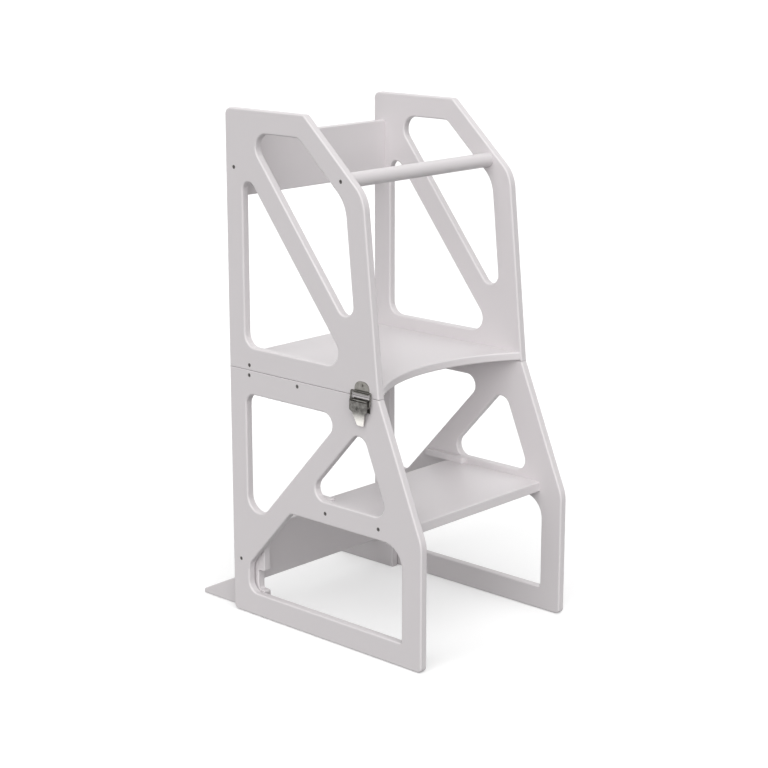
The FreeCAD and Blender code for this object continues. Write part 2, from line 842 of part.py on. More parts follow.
def hinge_leaf(label, side, upward):
    """One hinge leaf; the upper one owns the middle knuckle."""
    body = new_body(label)
    centre = side * size("hinge_offset")
    low = SEAM if upward else SEAM - LEAF
    spans = knuckle_spans()
    mine = [spans[1]] if upward else [spans[0], spans[2]]
    edge_y = at_depth(size("hinge_gap"))
    far_y = at_depth(size("leaf_depth"))
    half = size("leaf_length") / 2.0
    plate = new_sketch(body, "XY_Plane", low)
    draw_figure(plate, [(centre - half, edge_y), (centre - half, far_y),
                        (centre + half, far_y), (centre + half, edge_y)],
                [None, "foot_corner", "foot_corner", None])
    pad(body, plate, "sizes.leaf_sheet")
    bore = size("hinge_pin") / 2.0 + size("hinge_running_fit")
    for start, stop in mine:
        strap = new_sketch(body, "XY_Plane", low)
        draw_figure(strap, [(centre + start, edge_y - 1.0),
                            (centre + stop, edge_y - 1.0),
                            (centre + stop, PIN_Y), (centre + start, PIN_Y)],
                    [None] * 4)
        pad(body, strap, "sizes.leaf_sheet")
        barrel = new_sketch(body, "YZ_Plane", centre + start)
        draw_circle(barrel, (PIN_Y, SEAM), size("knuckle") / 2.0)
        raised = pad(body, barrel, "sizes.leaf_sheet")
        raised.setExpression("Length", "%s" % (stop - start))
    doc.recompute()
    hole = new_sketch(body, "YZ_Plane", centre)
    draw_circle(hole, (PIN_Y, SEAM), bore)
    pocket(body, hole, "sizes.leaf_length + 2", midplane=True)
    face = SEAM
    loose = size("screw_clearance")
    holes = new_sketch(body, "XY_Plane", face)
    heads = new_sketch(body, "XY_Plane", face)
    for row in HINGE_SCREW_ROWS:
        place = (centre + row, HINGE_SCREW_Y)
        draw_circle(holes, place, size("hinge_screw_shank") / 2.0 + loose)
        draw_circle(heads, place, size("hinge_screw_head") / 2.0 + loose)
    pocket(body, holes, "sizes.leaf_sheet", reverse=upward)
    pocket(body, heads, "sizes.hinge_screw_head_deep", reverse=upward)
    return body


def hinge_pin(label, side):
    """Pin through the three knuckles."""
    body = new_body(label)
    sketch = new_sketch(body, "YZ_Plane", side * size("hinge_offset"))
    draw_circle(sketch, (PIN_Y, SEAM), size("hinge_pin") / 2.0)
    pad(body, sketch, "sizes.leaf_length", midplane=True)
    return body


def hinge_screws(label, upward):
    """Small sunk screws that hold the leaves to their boards."""
    way = Vector(0, 0, 1 if upward else -1)
    solids = []
    for name, side in SIDES:
        for row in HINGE_SCREW_ROWS:
            tip = Vector(side * size("hinge_offset") + row, HINGE_SCREW_Y, SEAM)
            solids.append(screw_solid(
                tip, way, size("hinge_screw_shank"), size("hinge_screw_head"),
                size("hinge_screw_head_deep"), size("hinge_screw_length"),
                size("hinge_screw_shank") / 2.0))
    return group(label, solids)


def bore_board_for_hinges(body, upward):
    """Pilot holes for the hinge screws in the platform or the ledge."""
    face = PLATFORM_LOW if upward else LEDGE_LOW + SHEET
    sketch = new_sketch(body, "XY_Plane", face)
    for name, side in SIDES:
        for row in HINGE_SCREW_ROWS:
            draw_circle(sketch,
                        (side * size("hinge_offset") + row, HINGE_SCREW_Y),
                        size("hinge_screw_shank") / 2.0
                        + size("screw_clearance"))
    pocket(body, sketch, "sizes.hinge_screw_length", reverse=upward)


# -------------------------------------------------------------- latches
# Each latch is drawn with +X pointing out of the panel and turned about Z
# for the left side. Its pieces are alike front to back, so the turn serves
# as the mirror image.
LATCH_Y = at_depth(size("latch_depth"))
AXIS = (size("latch_axis_out"), SEAM - size("latch_axis_drop"))
HEEL = (AXIS[0], AXIS[1] - size("latch_eccentric"))
WIRE = size("loop_wire") / 2.0
THIN = size("latch_sheet")
BAR = (THIN + size("latch_gap") + WIRE, SEAM + size("loop_rise"))
CHEEK_OUT = size("lever_width") / 2.0
CHEEK_IN = CHEEK_OUT - THIN
EAR_OUT = CHEEK_IN - size("latch_gap")
BASE_HIGH = SEAM - size("latch_base_drop")
WEB_TOP = AXIS[1] - size("lever_web_drop")
TIP_LOW = AXIS[1] - size("lever_length")


def latch_place(side):
    """Place and turn of a latch on its panel."""
    turn = 180.0 if side == LEFT else 0.0
    return Placement(Vector(side * HALF_WIDTH, LATCH_Y, 0),
                     Rotation(Vector(0, 0, 1), turn))


def plate_on_panel(body, half, low, high, corner):
    """Flat plate that lies on the panel."""
    sketch = new_sketch(body, "YZ_Plane")
    draw_figure(sketch, [(-half, low), (-half, high), (half, high),
                         (half, low)], corner)
    return pad(body, sketch, "sizes.latch_sheet")


def bore_plate(body, places):
    """Screw holes through a latch plate."""
    sketch = new_sketch(body, "YZ_Plane")
    for place in places:
        draw_circle(sketch, place,
                    size("latch_screw_shank") / 2.0 + size("screw_clearance"))
    pocket(body, sketch, "sizes.latch_sheet", reverse=True)


def latch_base(label, side):
    """Plate on the lower panel with two ears that carry the lever's pin."""
    body = new_body(label)
    plate_on_panel(body, EAR_OUT, BASE_HIGH - size("latch_base_height"),
                   BASE_HIGH, [None] * 4)
    reach = size("ear_round")
    root = THIN / 2.0
    tip = AXIS[0] + reach
    slope = math.radians(size("ear_slope"))
    # the top falls back to the plate, clear of the raised lever
    peak = AXIS[1] + reach * math.tan(math.pi / 4.0 + slope / 2.0)
    ear = [(root, AXIS[1] - reach - size("ear_spread")),
           (tip, AXIS[1] - reach), (tip, peak),
           (root, peak - (tip - root) * math.tan(slope))]
    for start in (-EAR_OUT, EAR_OUT - THIN):
        sketch = new_sketch(body, "XZ_Plane", start)
        draw_figure(sketch, ear, [None, "ear_round", "ear_round", None])
        pad(body, sketch, "sizes.latch_sheet", reverse=True)
    hole = new_sketch(body, "XZ_Plane")
    draw_circle(hole, AXIS, size("latch_pin") / 2.0)
    pocket(body, hole, "sizes.lever_width", midplane=True)
    bore_plate(body, BASE_SCREWS)
    body.Placement = latch_place(side)
    return body


def latch_pin(label, side):
    """Pin on which the lever turns."""
    body = new_body(label)
    sketch = new_sketch(body, "XZ_Plane")
    draw_circle(sketch, AXIS, size("latch_pin") / 2.0)
    pad(body, sketch, "sizes.lever_width", midplane=True)
    body.Placement = latch_place(side)
    return body


def lever_web(body):
    """Front of the lever: a strip bent in towards its tip, cut to a tab."""
    out = size("lever_web_out")
    tip_out = size("lever_tip_out")
    bend = AXIS[1] - size("lever_bend_drop")
    strip = new_sketch(body, "XZ_Plane")
    draw_figure(strip, [(out, WEB_TOP), (out, bend), (tip_out, TIP_LOW),
                        (tip_out + THIN, TIP_LOW), (out + THIN, bend),
                        (out + THIN, WEB_TOP)], [None] * 6)
    pad(body, strip, "sizes.lever_width", midplane=True)
    neck = size("lever_neck_width") / 2.0
    tab = size("lever_tip_width") / 2.0
    past = CHEEK_OUT + THIN
    waste = [(CHEEK_OUT, bend), (neck, AXIS[1] - size("lever_neck_drop")),
             (tab, AXIS[1] - size("lever_tab_drop")), (tab, TIP_LOW - THIN),
             (past, TIP_LOW - THIN), (past, bend)]
    trim = new_sketch(body, "YZ_Plane")
    for way in (-1, 1):
        draw_figure(trim, [(way * across, height) for across, height in waste],
                    [None] * 6)
    cut = pocket(body, trim, "4 * sizes.lever_web_out", midplane=True)
    fillet(body, cut, "sizes.lever_tip_round",
           lambda edge: lies_at(edge, "z", [TIP_LOW])
           and lies_at(edge, "y", (-tab, tab)))


def latch_lever(label, side):
    """Bent lever: two cheeks beside the ears and a web that narrows to a tab."""
    body = new_body(label)
    lever_web(body)
    face = size("lever_web_out") + THIN
    reach = size("cheek_round")
    cheek = [(AXIS[0] - reach, HEEL[1] - reach), (face, HEEL[1] - reach),
             (face, WEB_TOP), (AXIS[0] + reach, AXIS[1] + reach),
             (AXIS[0] - reach, AXIS[1] + reach)]
    for start in (-CHEEK_OUT, CHEEK_IN):
        sketch = new_sketch(body, "XZ_Plane", start)
        draw_figure(sketch, cheek, ["cheek_round", None, None, "cheek_round",
                                    "cheek_round"])
        pad(body, sketch, "sizes.latch_sheet", reverse=True)
    bores = new_sketch(body, "XZ_Plane")
    draw_circle(bores, AXIS, size("latch_pin") / 2.0 + size("latch_fit"))
    draw_circle(bores, HEEL, WIRE + size("latch_fit"))
    pocket(body, bores, "2 * sizes.lever_width", midplane=True)
    body.Placement = latch_place(side)
    return body


def latch_loop(label, side):
    """Wire loop hung on the lever, with its bar behind the catch's shelf."""
    leg = size("loop_width") / 2.0 - WIRE
    bend = size("loop_bend")
    inner = CHEEK_IN + size("latch_gap")
    rise = (Vector(BAR[0], 0, BAR[1]) - Vector(HEEL[0], 0, HEEL[1])).normalize()
    low = Vector(HEEL[0], 0, HEEL[1])
    high = Vector(BAR[0], 0, BAR[1])
    across = Vector(0, 1, 0)
    turn = math.sqrt(0.5)
    edges = []
    for way in (-1, 1):
        foot_corner = low + across * (way * leg)
        head_corner = high + across * (way * leg)
        start = low + across * (way * inner)
        before = foot_corner - across * (way * bend)
        after = foot_corner + rise * bend
        hub = foot_corner - across * (way * bend) + rise * bend
        middle = hub + (across * way - rise) * (bend * turn)
        top_in = head_corner - rise * bend
        top_out = head_corner - across * (way * bend)
        crown = head_corner - across * (way * bend) - rise * bend
        top_mid = crown + (across * way + rise) * (bend * turn)
        side_edges = [
            Part.makeLine(start, before),
            Part.Arc(before, middle, after).toShape(),
            Part.makeLine(after, top_in),
            Part.Arc(top_in, top_mid, top_out).toShape(),
        ]
        edges.append((side_edges, top_out))
    bar = Part.makeLine(edges[0][1], edges[1][1])
    ordered = edges[0][0] + [bar] + list(reversed(edges[1][0]))
    path = Part.Wire(Part.__sortEdges__(ordered))
    first = low - across * inner
    ring = Part.Wire(Part.makeCircle(WIRE, first, across))
    solid = path.makePipeShell([ring], True, False)
    feature = doc.addObject("Part::Feature", label)
    feature.Label = label
    feature.Shape = solid
    feature.Placement = latch_place(side)
    return feature


SHELF_TOP = BAR[1] - WIRE - size("latch_gap")
CATCH_SCREWS = [(0.0, SEAM + size("catch_screw_rise"))]
BASE_SCREWS = [(way * size("base_screw_spacing") / 2.0,
                SEAM - size("base_screw_drop")) for way in (-1, 1)]


def latch_catch(label, side):
    """Plate on the upper panel whose lower edge turns out into a shelf."""
    body = new_body(label)
    half = size("catch_width") / 2.0
    low = SHELF_TOP - THIN
    plate_on_panel(body, half, low, SEAM + size("catch_rise"),
                   [None, "catch_round", "catch_round", None])
    shelf = new_sketch(body, "XZ_Plane")
    draw_figure(shelf, [(0.0, low), (size("catch_shelf"), low),
                        (size("catch_shelf"), SHELF_TOP), (0.0, SHELF_TOP)],
                [None] * 4)
    pad(body, shelf, "sizes.catch_width", midplane=True)
    bore_plate(body, CATCH_SCREWS)
    body.Placement = latch_place(side)
    return body


def latch_screws(label, places):
    """Pan-head screws of the latch plates, both sides."""
    solids = []
    for name, side in SIDES:
        place = latch_place(side)
        for across, height in places:
            tip = Vector(THIN + size("latch_screw_head_deep"), across, height)
            screw = Part.makeCylinder(
                size("latch_screw_shank") / 2.0, size("latch_screw_length"),
                tip, Vector(-1, 0, 0))
            cap = Part.makeCylinder(
                size("latch_screw_head") / 2.0,
                size("latch_screw_head_deep"), tip, Vector(-1, 0, 0))
            whole = screw.fuse(cap).removeSplitter()
            whole.Placement = place
            solids.append(whole)
    return group(label, solids)


def bore_panel_for_latch(body, side, places):
    """Pilot holes for the latch screws in a panel's outer face."""
    sketch = new_sketch(body, "YZ_Plane")
    for across, height in places:
        draw_circle(sketch, (LATCH_Y + across, height),
                    size("latch_screw_shank") / 2.0 + size("screw_clearance"))
    pocket(body, sketch, "sizes.latch_screw_length", reverse=side == LEFT)


# ------------------------------------------------------------- assembly
pieces = []
for name, side in SIDES:
    upper = side_panel("upper_%s_panel" % name, side, upper_figures(),
                       UPPER_SCREWS)
    bore_panel_for_latch(upper, side, CATCH_SCREWS)
    lower = side_panel("lower_%s_panel" % name, side, lower_figures(),
                       LOWER_SCREWS)
    bore_panel_for_latch(lower, side, BASE_SCREWS)
    pieces += [upper, lower]

platform = platform_board()
bore_board_for_hinges(platform, True)
ledge = straight_board(
    "ledge_board",
    box_corners(0.0, size("ledge_depth"), LEDGE_LOW, LEDGE_LOW + SHEET),
    LEDGE_SCREWS,
    lambda edge: lies_at(edge, "y", [at_depth(size("ledge_depth"))]))
bore_board_for_hinges(ledge, False)
step = straight_board(
    "step_board",
    box_corners(size("step_rear"), size("step_front"), size("step_low"),
                size("step_low") + size("step_sheet")),
    STEP_SCREWS, lambda edge: True)
upper_back = straight_board(
    "upper_back_board",
    box_corners(size("back_board_rear"), BOARD_FRONT, UPPER_BACK_LOW,
                UPPER_BACK_LOW + size("upper_back_height")),
    UPPER_BACK_SCREWS, lambda edge: True)
pieces += [platform, ledge, step, upper_back, lower_back_board(), guard_bar()]

for name, side in SIDES:
    pieces += [
        foot_board("%s_foot_board" % name, side),
        step_cleat("%s_step_cleat" % name, side),
        hinge_leaf("%s_hinge_upper_leaf" % name, side, True),
        hinge_leaf("%s_hinge_lower_leaf" % name, side, False),
        hinge_pin("%s_hinge_pin" % name, side),
        latch_base("%s_latch_base" % name, side),
        latch_pin("%s_latch_pin" % name, side),
        latch_lever("%s_latch_lever" % name, side),
        latch_loop("%s_latch_loop" % name, side),
        latch_catch("%s_latch_catch" % name, side),
    ]

pieces += [
    panel_screws("upper_board_screws", UPPER_SCREWS),
    panel_screws("lower_board_screws", LOWER_SCREWS),
    foot_screws(),
    hinge_screws("hinge_upper_screws", True),
    hinge_screws("hinge_lower_screws", False),
    latch_screws("latch_catch_screws", CATCH_SCREWS),
    latch_screws("latch_base_screws", BASE_SCREWS),
]

doc.recompute()
for item in doc.Objects:
    if "Invalid" in item.State or "Error" in item.State:
        raise ValueError("not valid: " + item.Label)

os.makedirs("parts", exist_ok=True)
for piece in pieces:
    if piece.Shape.isNull() or not piece.Shape.isValid():
        raise ValueError("no sound shape: " + piece.Label)
    piece.Shape.exportStep("parts/%s.step" % piece.Label)
    print(piece.Label, len(piece.Shape.Solids), round(piece.Shape.Volume))
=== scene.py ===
"""Toddler kitchen helper stool: finishes, fine meshes, studio and camera.

Metres, Z up, the same frame as the solids: the front faces -Y, the origin
lies on the floor under the middle of the stool.
"""

import logging
import math
from dataclasses import dataclass, field
from enum import Enum

import bpy
import numpy as np
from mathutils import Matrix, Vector
from mathutils.geometry import tessellate_polygon


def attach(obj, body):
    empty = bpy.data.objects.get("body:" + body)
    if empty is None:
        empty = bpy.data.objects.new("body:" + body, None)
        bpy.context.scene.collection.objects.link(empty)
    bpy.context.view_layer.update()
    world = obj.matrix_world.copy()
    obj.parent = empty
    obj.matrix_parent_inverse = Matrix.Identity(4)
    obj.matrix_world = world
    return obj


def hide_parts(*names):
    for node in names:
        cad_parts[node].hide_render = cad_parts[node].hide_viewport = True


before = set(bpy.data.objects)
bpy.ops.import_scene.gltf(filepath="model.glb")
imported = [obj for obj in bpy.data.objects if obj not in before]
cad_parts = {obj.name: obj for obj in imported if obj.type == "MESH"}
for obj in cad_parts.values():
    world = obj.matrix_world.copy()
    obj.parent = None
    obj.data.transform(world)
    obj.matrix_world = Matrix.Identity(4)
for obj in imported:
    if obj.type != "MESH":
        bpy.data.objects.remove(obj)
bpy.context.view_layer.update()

log = logging.getLogger("helper_stool")

COLOUR_SOCKET = "NodeSocketColor"
NUMBER_SOCKET = "NodeSocketFloat"
WHITE = (1.0, 1.0, 1.0, 1.0)

# metres within which two columns stand in one place, or a corner lies on a line
SAME_PLACE = 1e-7
ON_LINE = 5e-4
# square metres, twice the area below which a triangle is dropped
NO_AREA = 1e-14
# parts round a sunk hole, and columns along the platform's hollow front
HOLE_PARTS = 24
HOLLOW_COLUMNS = 49
# corners of a square about the origin, counter-clockwise
SQUARE = ((-1.0, -1.0), (1.0, -1.0), (1.0, 1.0), (-1.0, 1.0))

Pair = tuple[float, float]
Triple = tuple[float, float, float]
Four = tuple[float, float, float, float]
Line = tuple[np.ndarray, np.ndarray]
Columns = tuple[np.ndarray, ...]
Socket = bpy.types.NodeSocket
Tree = bpy.types.NodeTree
Material = bpy.types.Material


class Side(Enum):
    """The two mirrored sides of the stool, as the sign of X."""

    LEFT = -1
    RIGHT = 1

    @property
    def word(self) -> str:
        """The side's name as it stands in the names of pieces."""
        return self.name.lower()


@dataclass(frozen=True)
class PaintFinish:
    """Satin paint sprayed on board.

    Attributes:
        name: Name of the material.
        colour: Linear colour of the film.
        roughness: Mean roughness of the film.
        specular: Specular level of the film.
        cloud: Share by which the tone drifts over the board.
        peel: Strength and depth in metres of the orange peel, as bump.
    """

    name: str
    colour: Triple
    roughness: float = 0.36
    specular: float = 0.35
    cloud: float = 0.03
    peel: Pair = (0.05, 0.0004)


@dataclass(frozen=True)
class MetalFinish:
    """Plated or blackened metal.

    Attributes:
        name: Name of the material.
        colour: Linear colour of the metal.
        roughness: Mean roughness.
        tarnish_and_shade: Linear colour of the dull film: tarnish on zinc and blackened steel,
            painted dark reflection and shade on nickel.
        film: How thickly the dull film lies. On nickel the thick film is painted dark reflection
            and shade.
        metallic: Metallic value.
        painted_highlight_band: Heights between which the film sets in as painted shade. The
            bright metal below is a painted highlight.
        brushing: Strength and depth in metres of the brushed streaks, as bump.
    """

    name: str
    colour: Triple
    roughness: float
    tarnish_and_shade: Triple
    film: float
    metallic: float = 1.0
    painted_highlight_band: Pair | None = None
    brushing: Pair = (0.08, 0.0002)


LIGHT_GREY = PaintFinish("light_grey_paint", (0.675, 0.645, 0.655))
# near-black film on the nickel parts: painted dark reflection and shade
PAINTED_DARK_REFLECTION = (0.03, 0.028, 0.025)
NICKEL = MetalFinish("bright_nickel", (0.62, 0.60, 0.56), 0.16, PAINTED_DARK_REFLECTION, 1.25)
# latch base and loop: a thicker dark film as painted shade
SHADED_NICKEL = MetalFinish("shaded_nickel", NICKEL.colour, 0.22, PAINTED_DARK_REFLECTION, 1.65)
# lever: painted shade above, bright metal at the tip as a painted highlight
LEVER_NICKEL = MetalFinish(
    "lever_nickel", (0.82, 0.80, 0.76), 0.16, PAINTED_DARK_REFLECTION, 1.7, painted_highlight_band=(0.409, 0.426)
)
ZINC = MetalFinish("satin_zinc", (0.55, 0.55, 0.54), 0.38, (0.30, 0.30, 0.29), 0.4)
BLACKENED = MetalFinish("blackened_steel", (0.12, 0.115, 0.11), 0.5, (0.20, 0.19, 0.18), 0.3, 0.4)


def add_node(
    tree: Tree, kind: str, inputs: dict[str | int, object], **settings: object
) -> bpy.types.Node:
    """Node with its inputs set or linked.

    Args:
        tree: The node tree.
        kind: Type name of the node.
        inputs: Value or output socket for each input, by its name or place.
        settings: Value of each other attribute of the node.

    Returns:
        The node.
    """
    node = tree.nodes.new(kind)
    for label, value in settings.items():
        setattr(node, label, value)
    for label, value in inputs.items():
        if isinstance(value, Socket):
            tree.links.new(value, node.inputs[label])
        else:
            node.inputs[label].default_value = value
    return node


def math_node(tree: Tree, operation: str, *values: float | Socket) -> Socket:
    """Math node.

    Args:
        tree: The node tree.
        operation: The operation, such as MULTIPLY_ADD.
        values: A number or an output socket for each input.

    Returns:
        The node's output.
    """
    inputs = dict(enumerate(values))
    return add_node(tree, "ShaderNodeMath", inputs, operation=operation).outputs[0]


def noise_node(tree: Tree, place: Socket, scale: float, detail: float) -> Socket:
    """Noise over a place.

    Args:
        tree: The node tree.
        place: Socket that gives the place.
        scale: Scale of the noise.
        detail: Detail of the noise.

    Returns:
        The noise, about 0.5 on average.
    """
    inputs = {"Vector": place, "Scale": scale, "Detail": detail}
    return add_node(tree, "ShaderNodeTexNoise", inputs).outputs["Fac"]


def in_plain_sight(tree: Tree) -> Socket:
    """Tells rays that show the studio from rays that light the stool.

    Args:
        tree: The node tree.

    Returns:
        1 for rays from the camera, off gloss and through glass, otherwise 0.
    """
    path = add_node(tree, "ShaderNodeLightPath", {}).outputs
    clear = math_node(tree, "MAXIMUM", path["Is Glossy Ray"], path["Is Transmission Ray"])
    return math_node(tree, "MAXIMUM", path["Is Camera Ray"], clear)


class Finishes:
    """Shader groups and materials, each built once.

    Attributes:
        film_group: Group of the paint film.
        metal_group: Group of plated metal.
        made: Metals by name.
    """

    # scale and detail of the noises, and how the streaks are drawn out along Z
    DRIFT = (5.0, 4.0)
    PEEL = (700.0, 2.0)
    PATCH = (160.0, 5.0)
    STREAK = (1.0, 2.0)
    STREAK_STRETCH = (2600.0, 2600.0, 220.0)
    # roughness that the drift adds, swing and base of the film's patches,
    # and roughness that the film adds
    SHEEN_SWING = 0.12
    PATCH_SWING, PATCH_LEVEL = 0.3, 0.35
    FILM_DULLING = 0.25

    def __init__(self) -> None:
        """Builds the shared groups."""
        self.film_group = self._film_group()
        self.metal_group = self._metal_group()
        self.made: dict[str, Material] = {}

    @staticmethod
    def _group(
        name: str, inputs: dict[str, str]
    ) -> tuple[Tree, bpy.types.bpy_prop_collection]:
        """Empty group with outputs Colour, Roughness and Height.

        Args:
            name: Name of the group.
            inputs: Socket type of each input, by name.

        Returns:
            The group, and the sockets that give its inputs.
        """
        tree = bpy.data.node_groups.new(name, "ShaderNodeTree")
        outputs = {"Colour": COLOUR_SOCKET, "Roughness": NUMBER_SOCKET, "Height": NUMBER_SOCKET}
        for way, sockets in (("INPUT", inputs), ("OUTPUT", outputs)):
            for label, kind in sockets.items():
                tree.interface.new_socket(name=label, in_out=way, socket_type=kind)
        return tree, tree.nodes.new("NodeGroupInput").outputs

    def _film_group(self) -> Tree:
        """Paint film: a drifting tone and sheen, and orange peel.

        Returns:
            The group.
        """
        inputs = {"Colour": COLOUR_SOCKET, "Cloud": NUMBER_SOCKET, "Roughness": NUMBER_SOCKET}
        tree, given = self._group("paint_film", inputs)
        place = add_node(tree, "ShaderNodeTexCoord", {}).outputs["Object"]
        drift = math_node(tree, "SUBTRACT", noise_node(tree, place, *self.DRIFT), 0.5)
        tone = math_node(tree, "MULTIPLY_ADD", drift, given["Cloud"], 1.0)
        tinted = {0: given["Colour"], "Scale": tone}
        tint = add_node(tree, "ShaderNodeVectorMath", tinted, operation="SCALE")
        rough = math_node(tree, "MULTIPLY_ADD", drift, self.SHEEN_SWING, given["Roughness"])
        peel = noise_node(tree, place, *self.PEEL)
        results = {"Colour": tint.outputs[0], "Roughness": rough, "Height": peel}
        add_node(tree, "NodeGroupOutput", results)
        return tree

    def _metal_group(self) -> Tree:
        """Plated metal: brushed streaks under a patchy dull film, which is tarnish on zinc and
        steel and painted dark reflection and shade on nickel.

        Returns:
            The group.
        """
        inputs = {
            "Metal": COLOUR_SOCKET,
            "Tarnish_and_shade": COLOUR_SOCKET,
            "Film": NUMBER_SOCKET,
            "Roughness": NUMBER_SOCKET,
        }
        tree, given = self._group("plated_metal", inputs)
        place = add_node(tree, "ShaderNodeTexCoord", {}).outputs["Object"]
        patch = noise_node(tree, place, *self.PATCH)
        even = math_node(tree, "MULTIPLY_ADD", patch, self.PATCH_SWING, self.PATCH_LEVEL)
        cover = math_node(tree, "MULTIPLY", even, given["Film"])
        layers = {"Factor": cover, "A": given["Metal"], "B": given["Tarnish_and_shade"]}
        blend = add_node(tree, "ShaderNodeMix", layers, data_type="RGBA")
        stretch = {"Vector": place, "Scale": self.STREAK_STRETCH}
        along = add_node(tree, "ShaderNodeMapping", stretch).outputs["Vector"]
        rough = math_node(tree, "MULTIPLY_ADD", cover, self.FILM_DULLING, given["Roughness"])
        streak = noise_node(tree, along, *self.STREAK)
        results = {"Colour": blend.outputs["Result"], "Roughness": rough, "Height": streak}
        add_node(tree, "NodeGroupOutput", results)
        return tree

    @staticmethod
    def _material(
        name: str, group: Tree, values: dict[str, object], relief: Pair
    ) -> tuple[Material, bpy.types.Node, bpy.types.Node]:
        """Material that one group feeds.

        Args:
            name: Name of the material.
            group: The group.
            values: Value of each input of the group.
            relief: Strength and distance in metres of the bump.

        Returns:
            The material, the group's node and the Principled shader.
        """
        material = bpy.data.materials.new(name)
        material.use_nodes = True
        tree = material.node_tree
        shader = tree.nodes["Principled BSDF"]
        coat = add_node(tree, "ShaderNodeGroup", values, node_tree=group)
        strength, distance = relief
        swell = {"Strength": strength, "Distance": distance, "Height": coat.outputs["Height"]}
        bump = add_node(tree, "ShaderNodeBump", swell)
        tree.links.new(coat.outputs["Colour"], shader.inputs["Base Color"])
        tree.links.new(coat.outputs["Roughness"], shader.inputs["Roughness"])
        tree.links.new(bump.outputs["Normal"], shader.inputs["Normal"])
        return material, coat, shader

    def paint(self, finish: PaintFinish) -> Material:
        """Material of painted boards.

        Args:
            finish: The paint.

        Returns:
            The material.
        """
        values = {
            "Colour": (*finish.colour, 1.0),
            "Cloud": finish.cloud,
            "Roughness": finish.roughness,
        }
        material, _, shader = self._material(finish.name, self.film_group, values, finish.peel)
        shader.inputs["Specular IOR Level"].default_value = finish.specular
        return material

    def metal(self, finish: MetalFinish) -> Material:
        """Material of metal fittings.

        Args:
            finish: The metal.

        Returns:
            The material, made on first use.
        """
        if finish.name in self.made:
            return self.made[finish.name]
        values = {
            "Metal": (*finish.colour, 1.0),
            "Tarnish_and_shade": (*finish.tarnish_and_shade, 1.0),
            "Film": finish.film,
            "Roughness": finish.roughness,
        }
        material, coat, shader = self._material(
            finish.name, self.metal_group, values, finish.brushing
        )
        shader.inputs["Metallic"].default_value = finish.metallic
        # dark film as painted shade above the band, bare bright metal below it as a painted
        # highlight
        if finish.painted_highlight_band is not None:
            tree = material.node_tree
            place = add_node(tree, "ShaderNodeTexCoord", {}).outputs["Object"]
            split = add_node(tree, "ShaderNodeSeparateXYZ", {0: place})
            low, high = finish.painted_highlight_band
            limits = {"From Min": low, "From Max": high, "To Min": 0.0, "To Max": finish.film}
            onset = add_node(tree, "ShaderNodeMapRange", {"Value": split.outputs["Z"], **limits})
            tree.links.new(onset.outputs[0], coat.inputs["Film"])
        self.made[finish.name] = material
        return material


@dataclass
class Outline:
    """Closed loop of columns round a plate, as whole arrays.

    Attributes:
        point: Places of the sharp edge line, N by 2.
        normal: Directions away from the material, N by 2.
        slide: How far and which way a column leans in over a full edge round, N by 2.
        round: Edge round of each column, N.
    """

    point: np.ndarray
    normal: np.ndarray
    slide: np.ndarray
    round: np.ndarray

    def inside_out(self) -> "Outline":
        """The same loop as an opening: run backwards, with its normals turned round.

        Returns:
            The opening's outline.
        """
        return Outline(self.point[::-1], -self.normal[::-1], -self.slide[::-1], self.round[::-1])


def joined(blocks: list[Columns]) -> Outline:
    """Outline from blocks of columns.

    Args:
        blocks: Points, normals, slides and rounds of each block, in order.

    Returns:
        The outline.
    """
    return Outline(*(np.concatenate([block[k] for block in blocks]) for k in range(4)))


def sharp_columns(spot: np.ndarray, sides: Columns, rims: Pair) -> Columns:
    """The two columns of a sharp corner.

    Both lean in along the mitre, by the vector d with d.a = r and d.b = s for
    the sides' normals a and b and edge rounds r and s.

    Args:
        spot: The corner.
        sides: Normals of the sides before and after it.
        rims: Edge rounds of these sides.

    Returns:
        Points, normals, slides and rounds of the columns.
    """
    (a, b), (ra, rb) = sides, rims
    dot = float(a @ b)
    lean = (a * (ra - dot * rb) + b * (rb - dot * ra)) / (1.0 - dot * dot)
    return tuple(np.array(pair) for pair in ((spot, spot), sides, (lean, lean), rims))


def loop_outline(corners: list[Triple], edge: float | list[float], steps: int = 8) -> Outline:
    """Outline of a figure with rounded corners.

    A rounded corner of radius R between sides with normals a and b has its
    centre at corner - s R (a + b) / (1 + a.b), and its points at centre + s R
    (cos t, sin t) while t runs from the angle of a to that of b; s is 1 at a
    corner that stands out and -1 at a hollow one.

    Args:
        corners: Place and radius of each corner, counter-clockwise.
        edge: Edge round of all sides, or of the side after each corner.
        steps: Parts of each arc.

    Returns:
        The outline.
    """
    spots = np.array([c[:2] for c in corners], float)
    edges = np.broadcast_to(edge, len(spots))
    run = np.roll(spots, -1, axis=0) - spots
    run /= np.linalg.norm(run, axis=1)[:, None]
    after = np.stack([run[:, 1], -run[:, 0]], axis=1)
    before = np.roll(after, 1, axis=0)
    share = np.linspace(0.0, 1.0, steps + 1)
    blocks = []
    for i, (spot, a, b) in enumerate(zip(spots, before, after)):
        radius = corners[i][2]
        ra, rb = edges[i - 1], edges[i]
        if radius == 0.0:
            blocks.append(sharp_columns(spot, (a, b), (ra, rb)))
            continue
        dot = float(a @ b)
        turn = math.atan2(a[0] * b[1] - a[1] * b[0], dot)
        reach = math.copysign(radius, turn)
        centre = spot - reach * (a + b) / (1.0 + dot)
        angle = math.atan2(a[1], a[0]) + turn * share
        normal = np.stack([np.cos(angle), np.sin(angle)], axis=1)
        rim = ra + (rb - ra) * share
        blocks.append((centre + reach * normal, normal, normal * rim[:, None], rim))
    return joined(blocks)


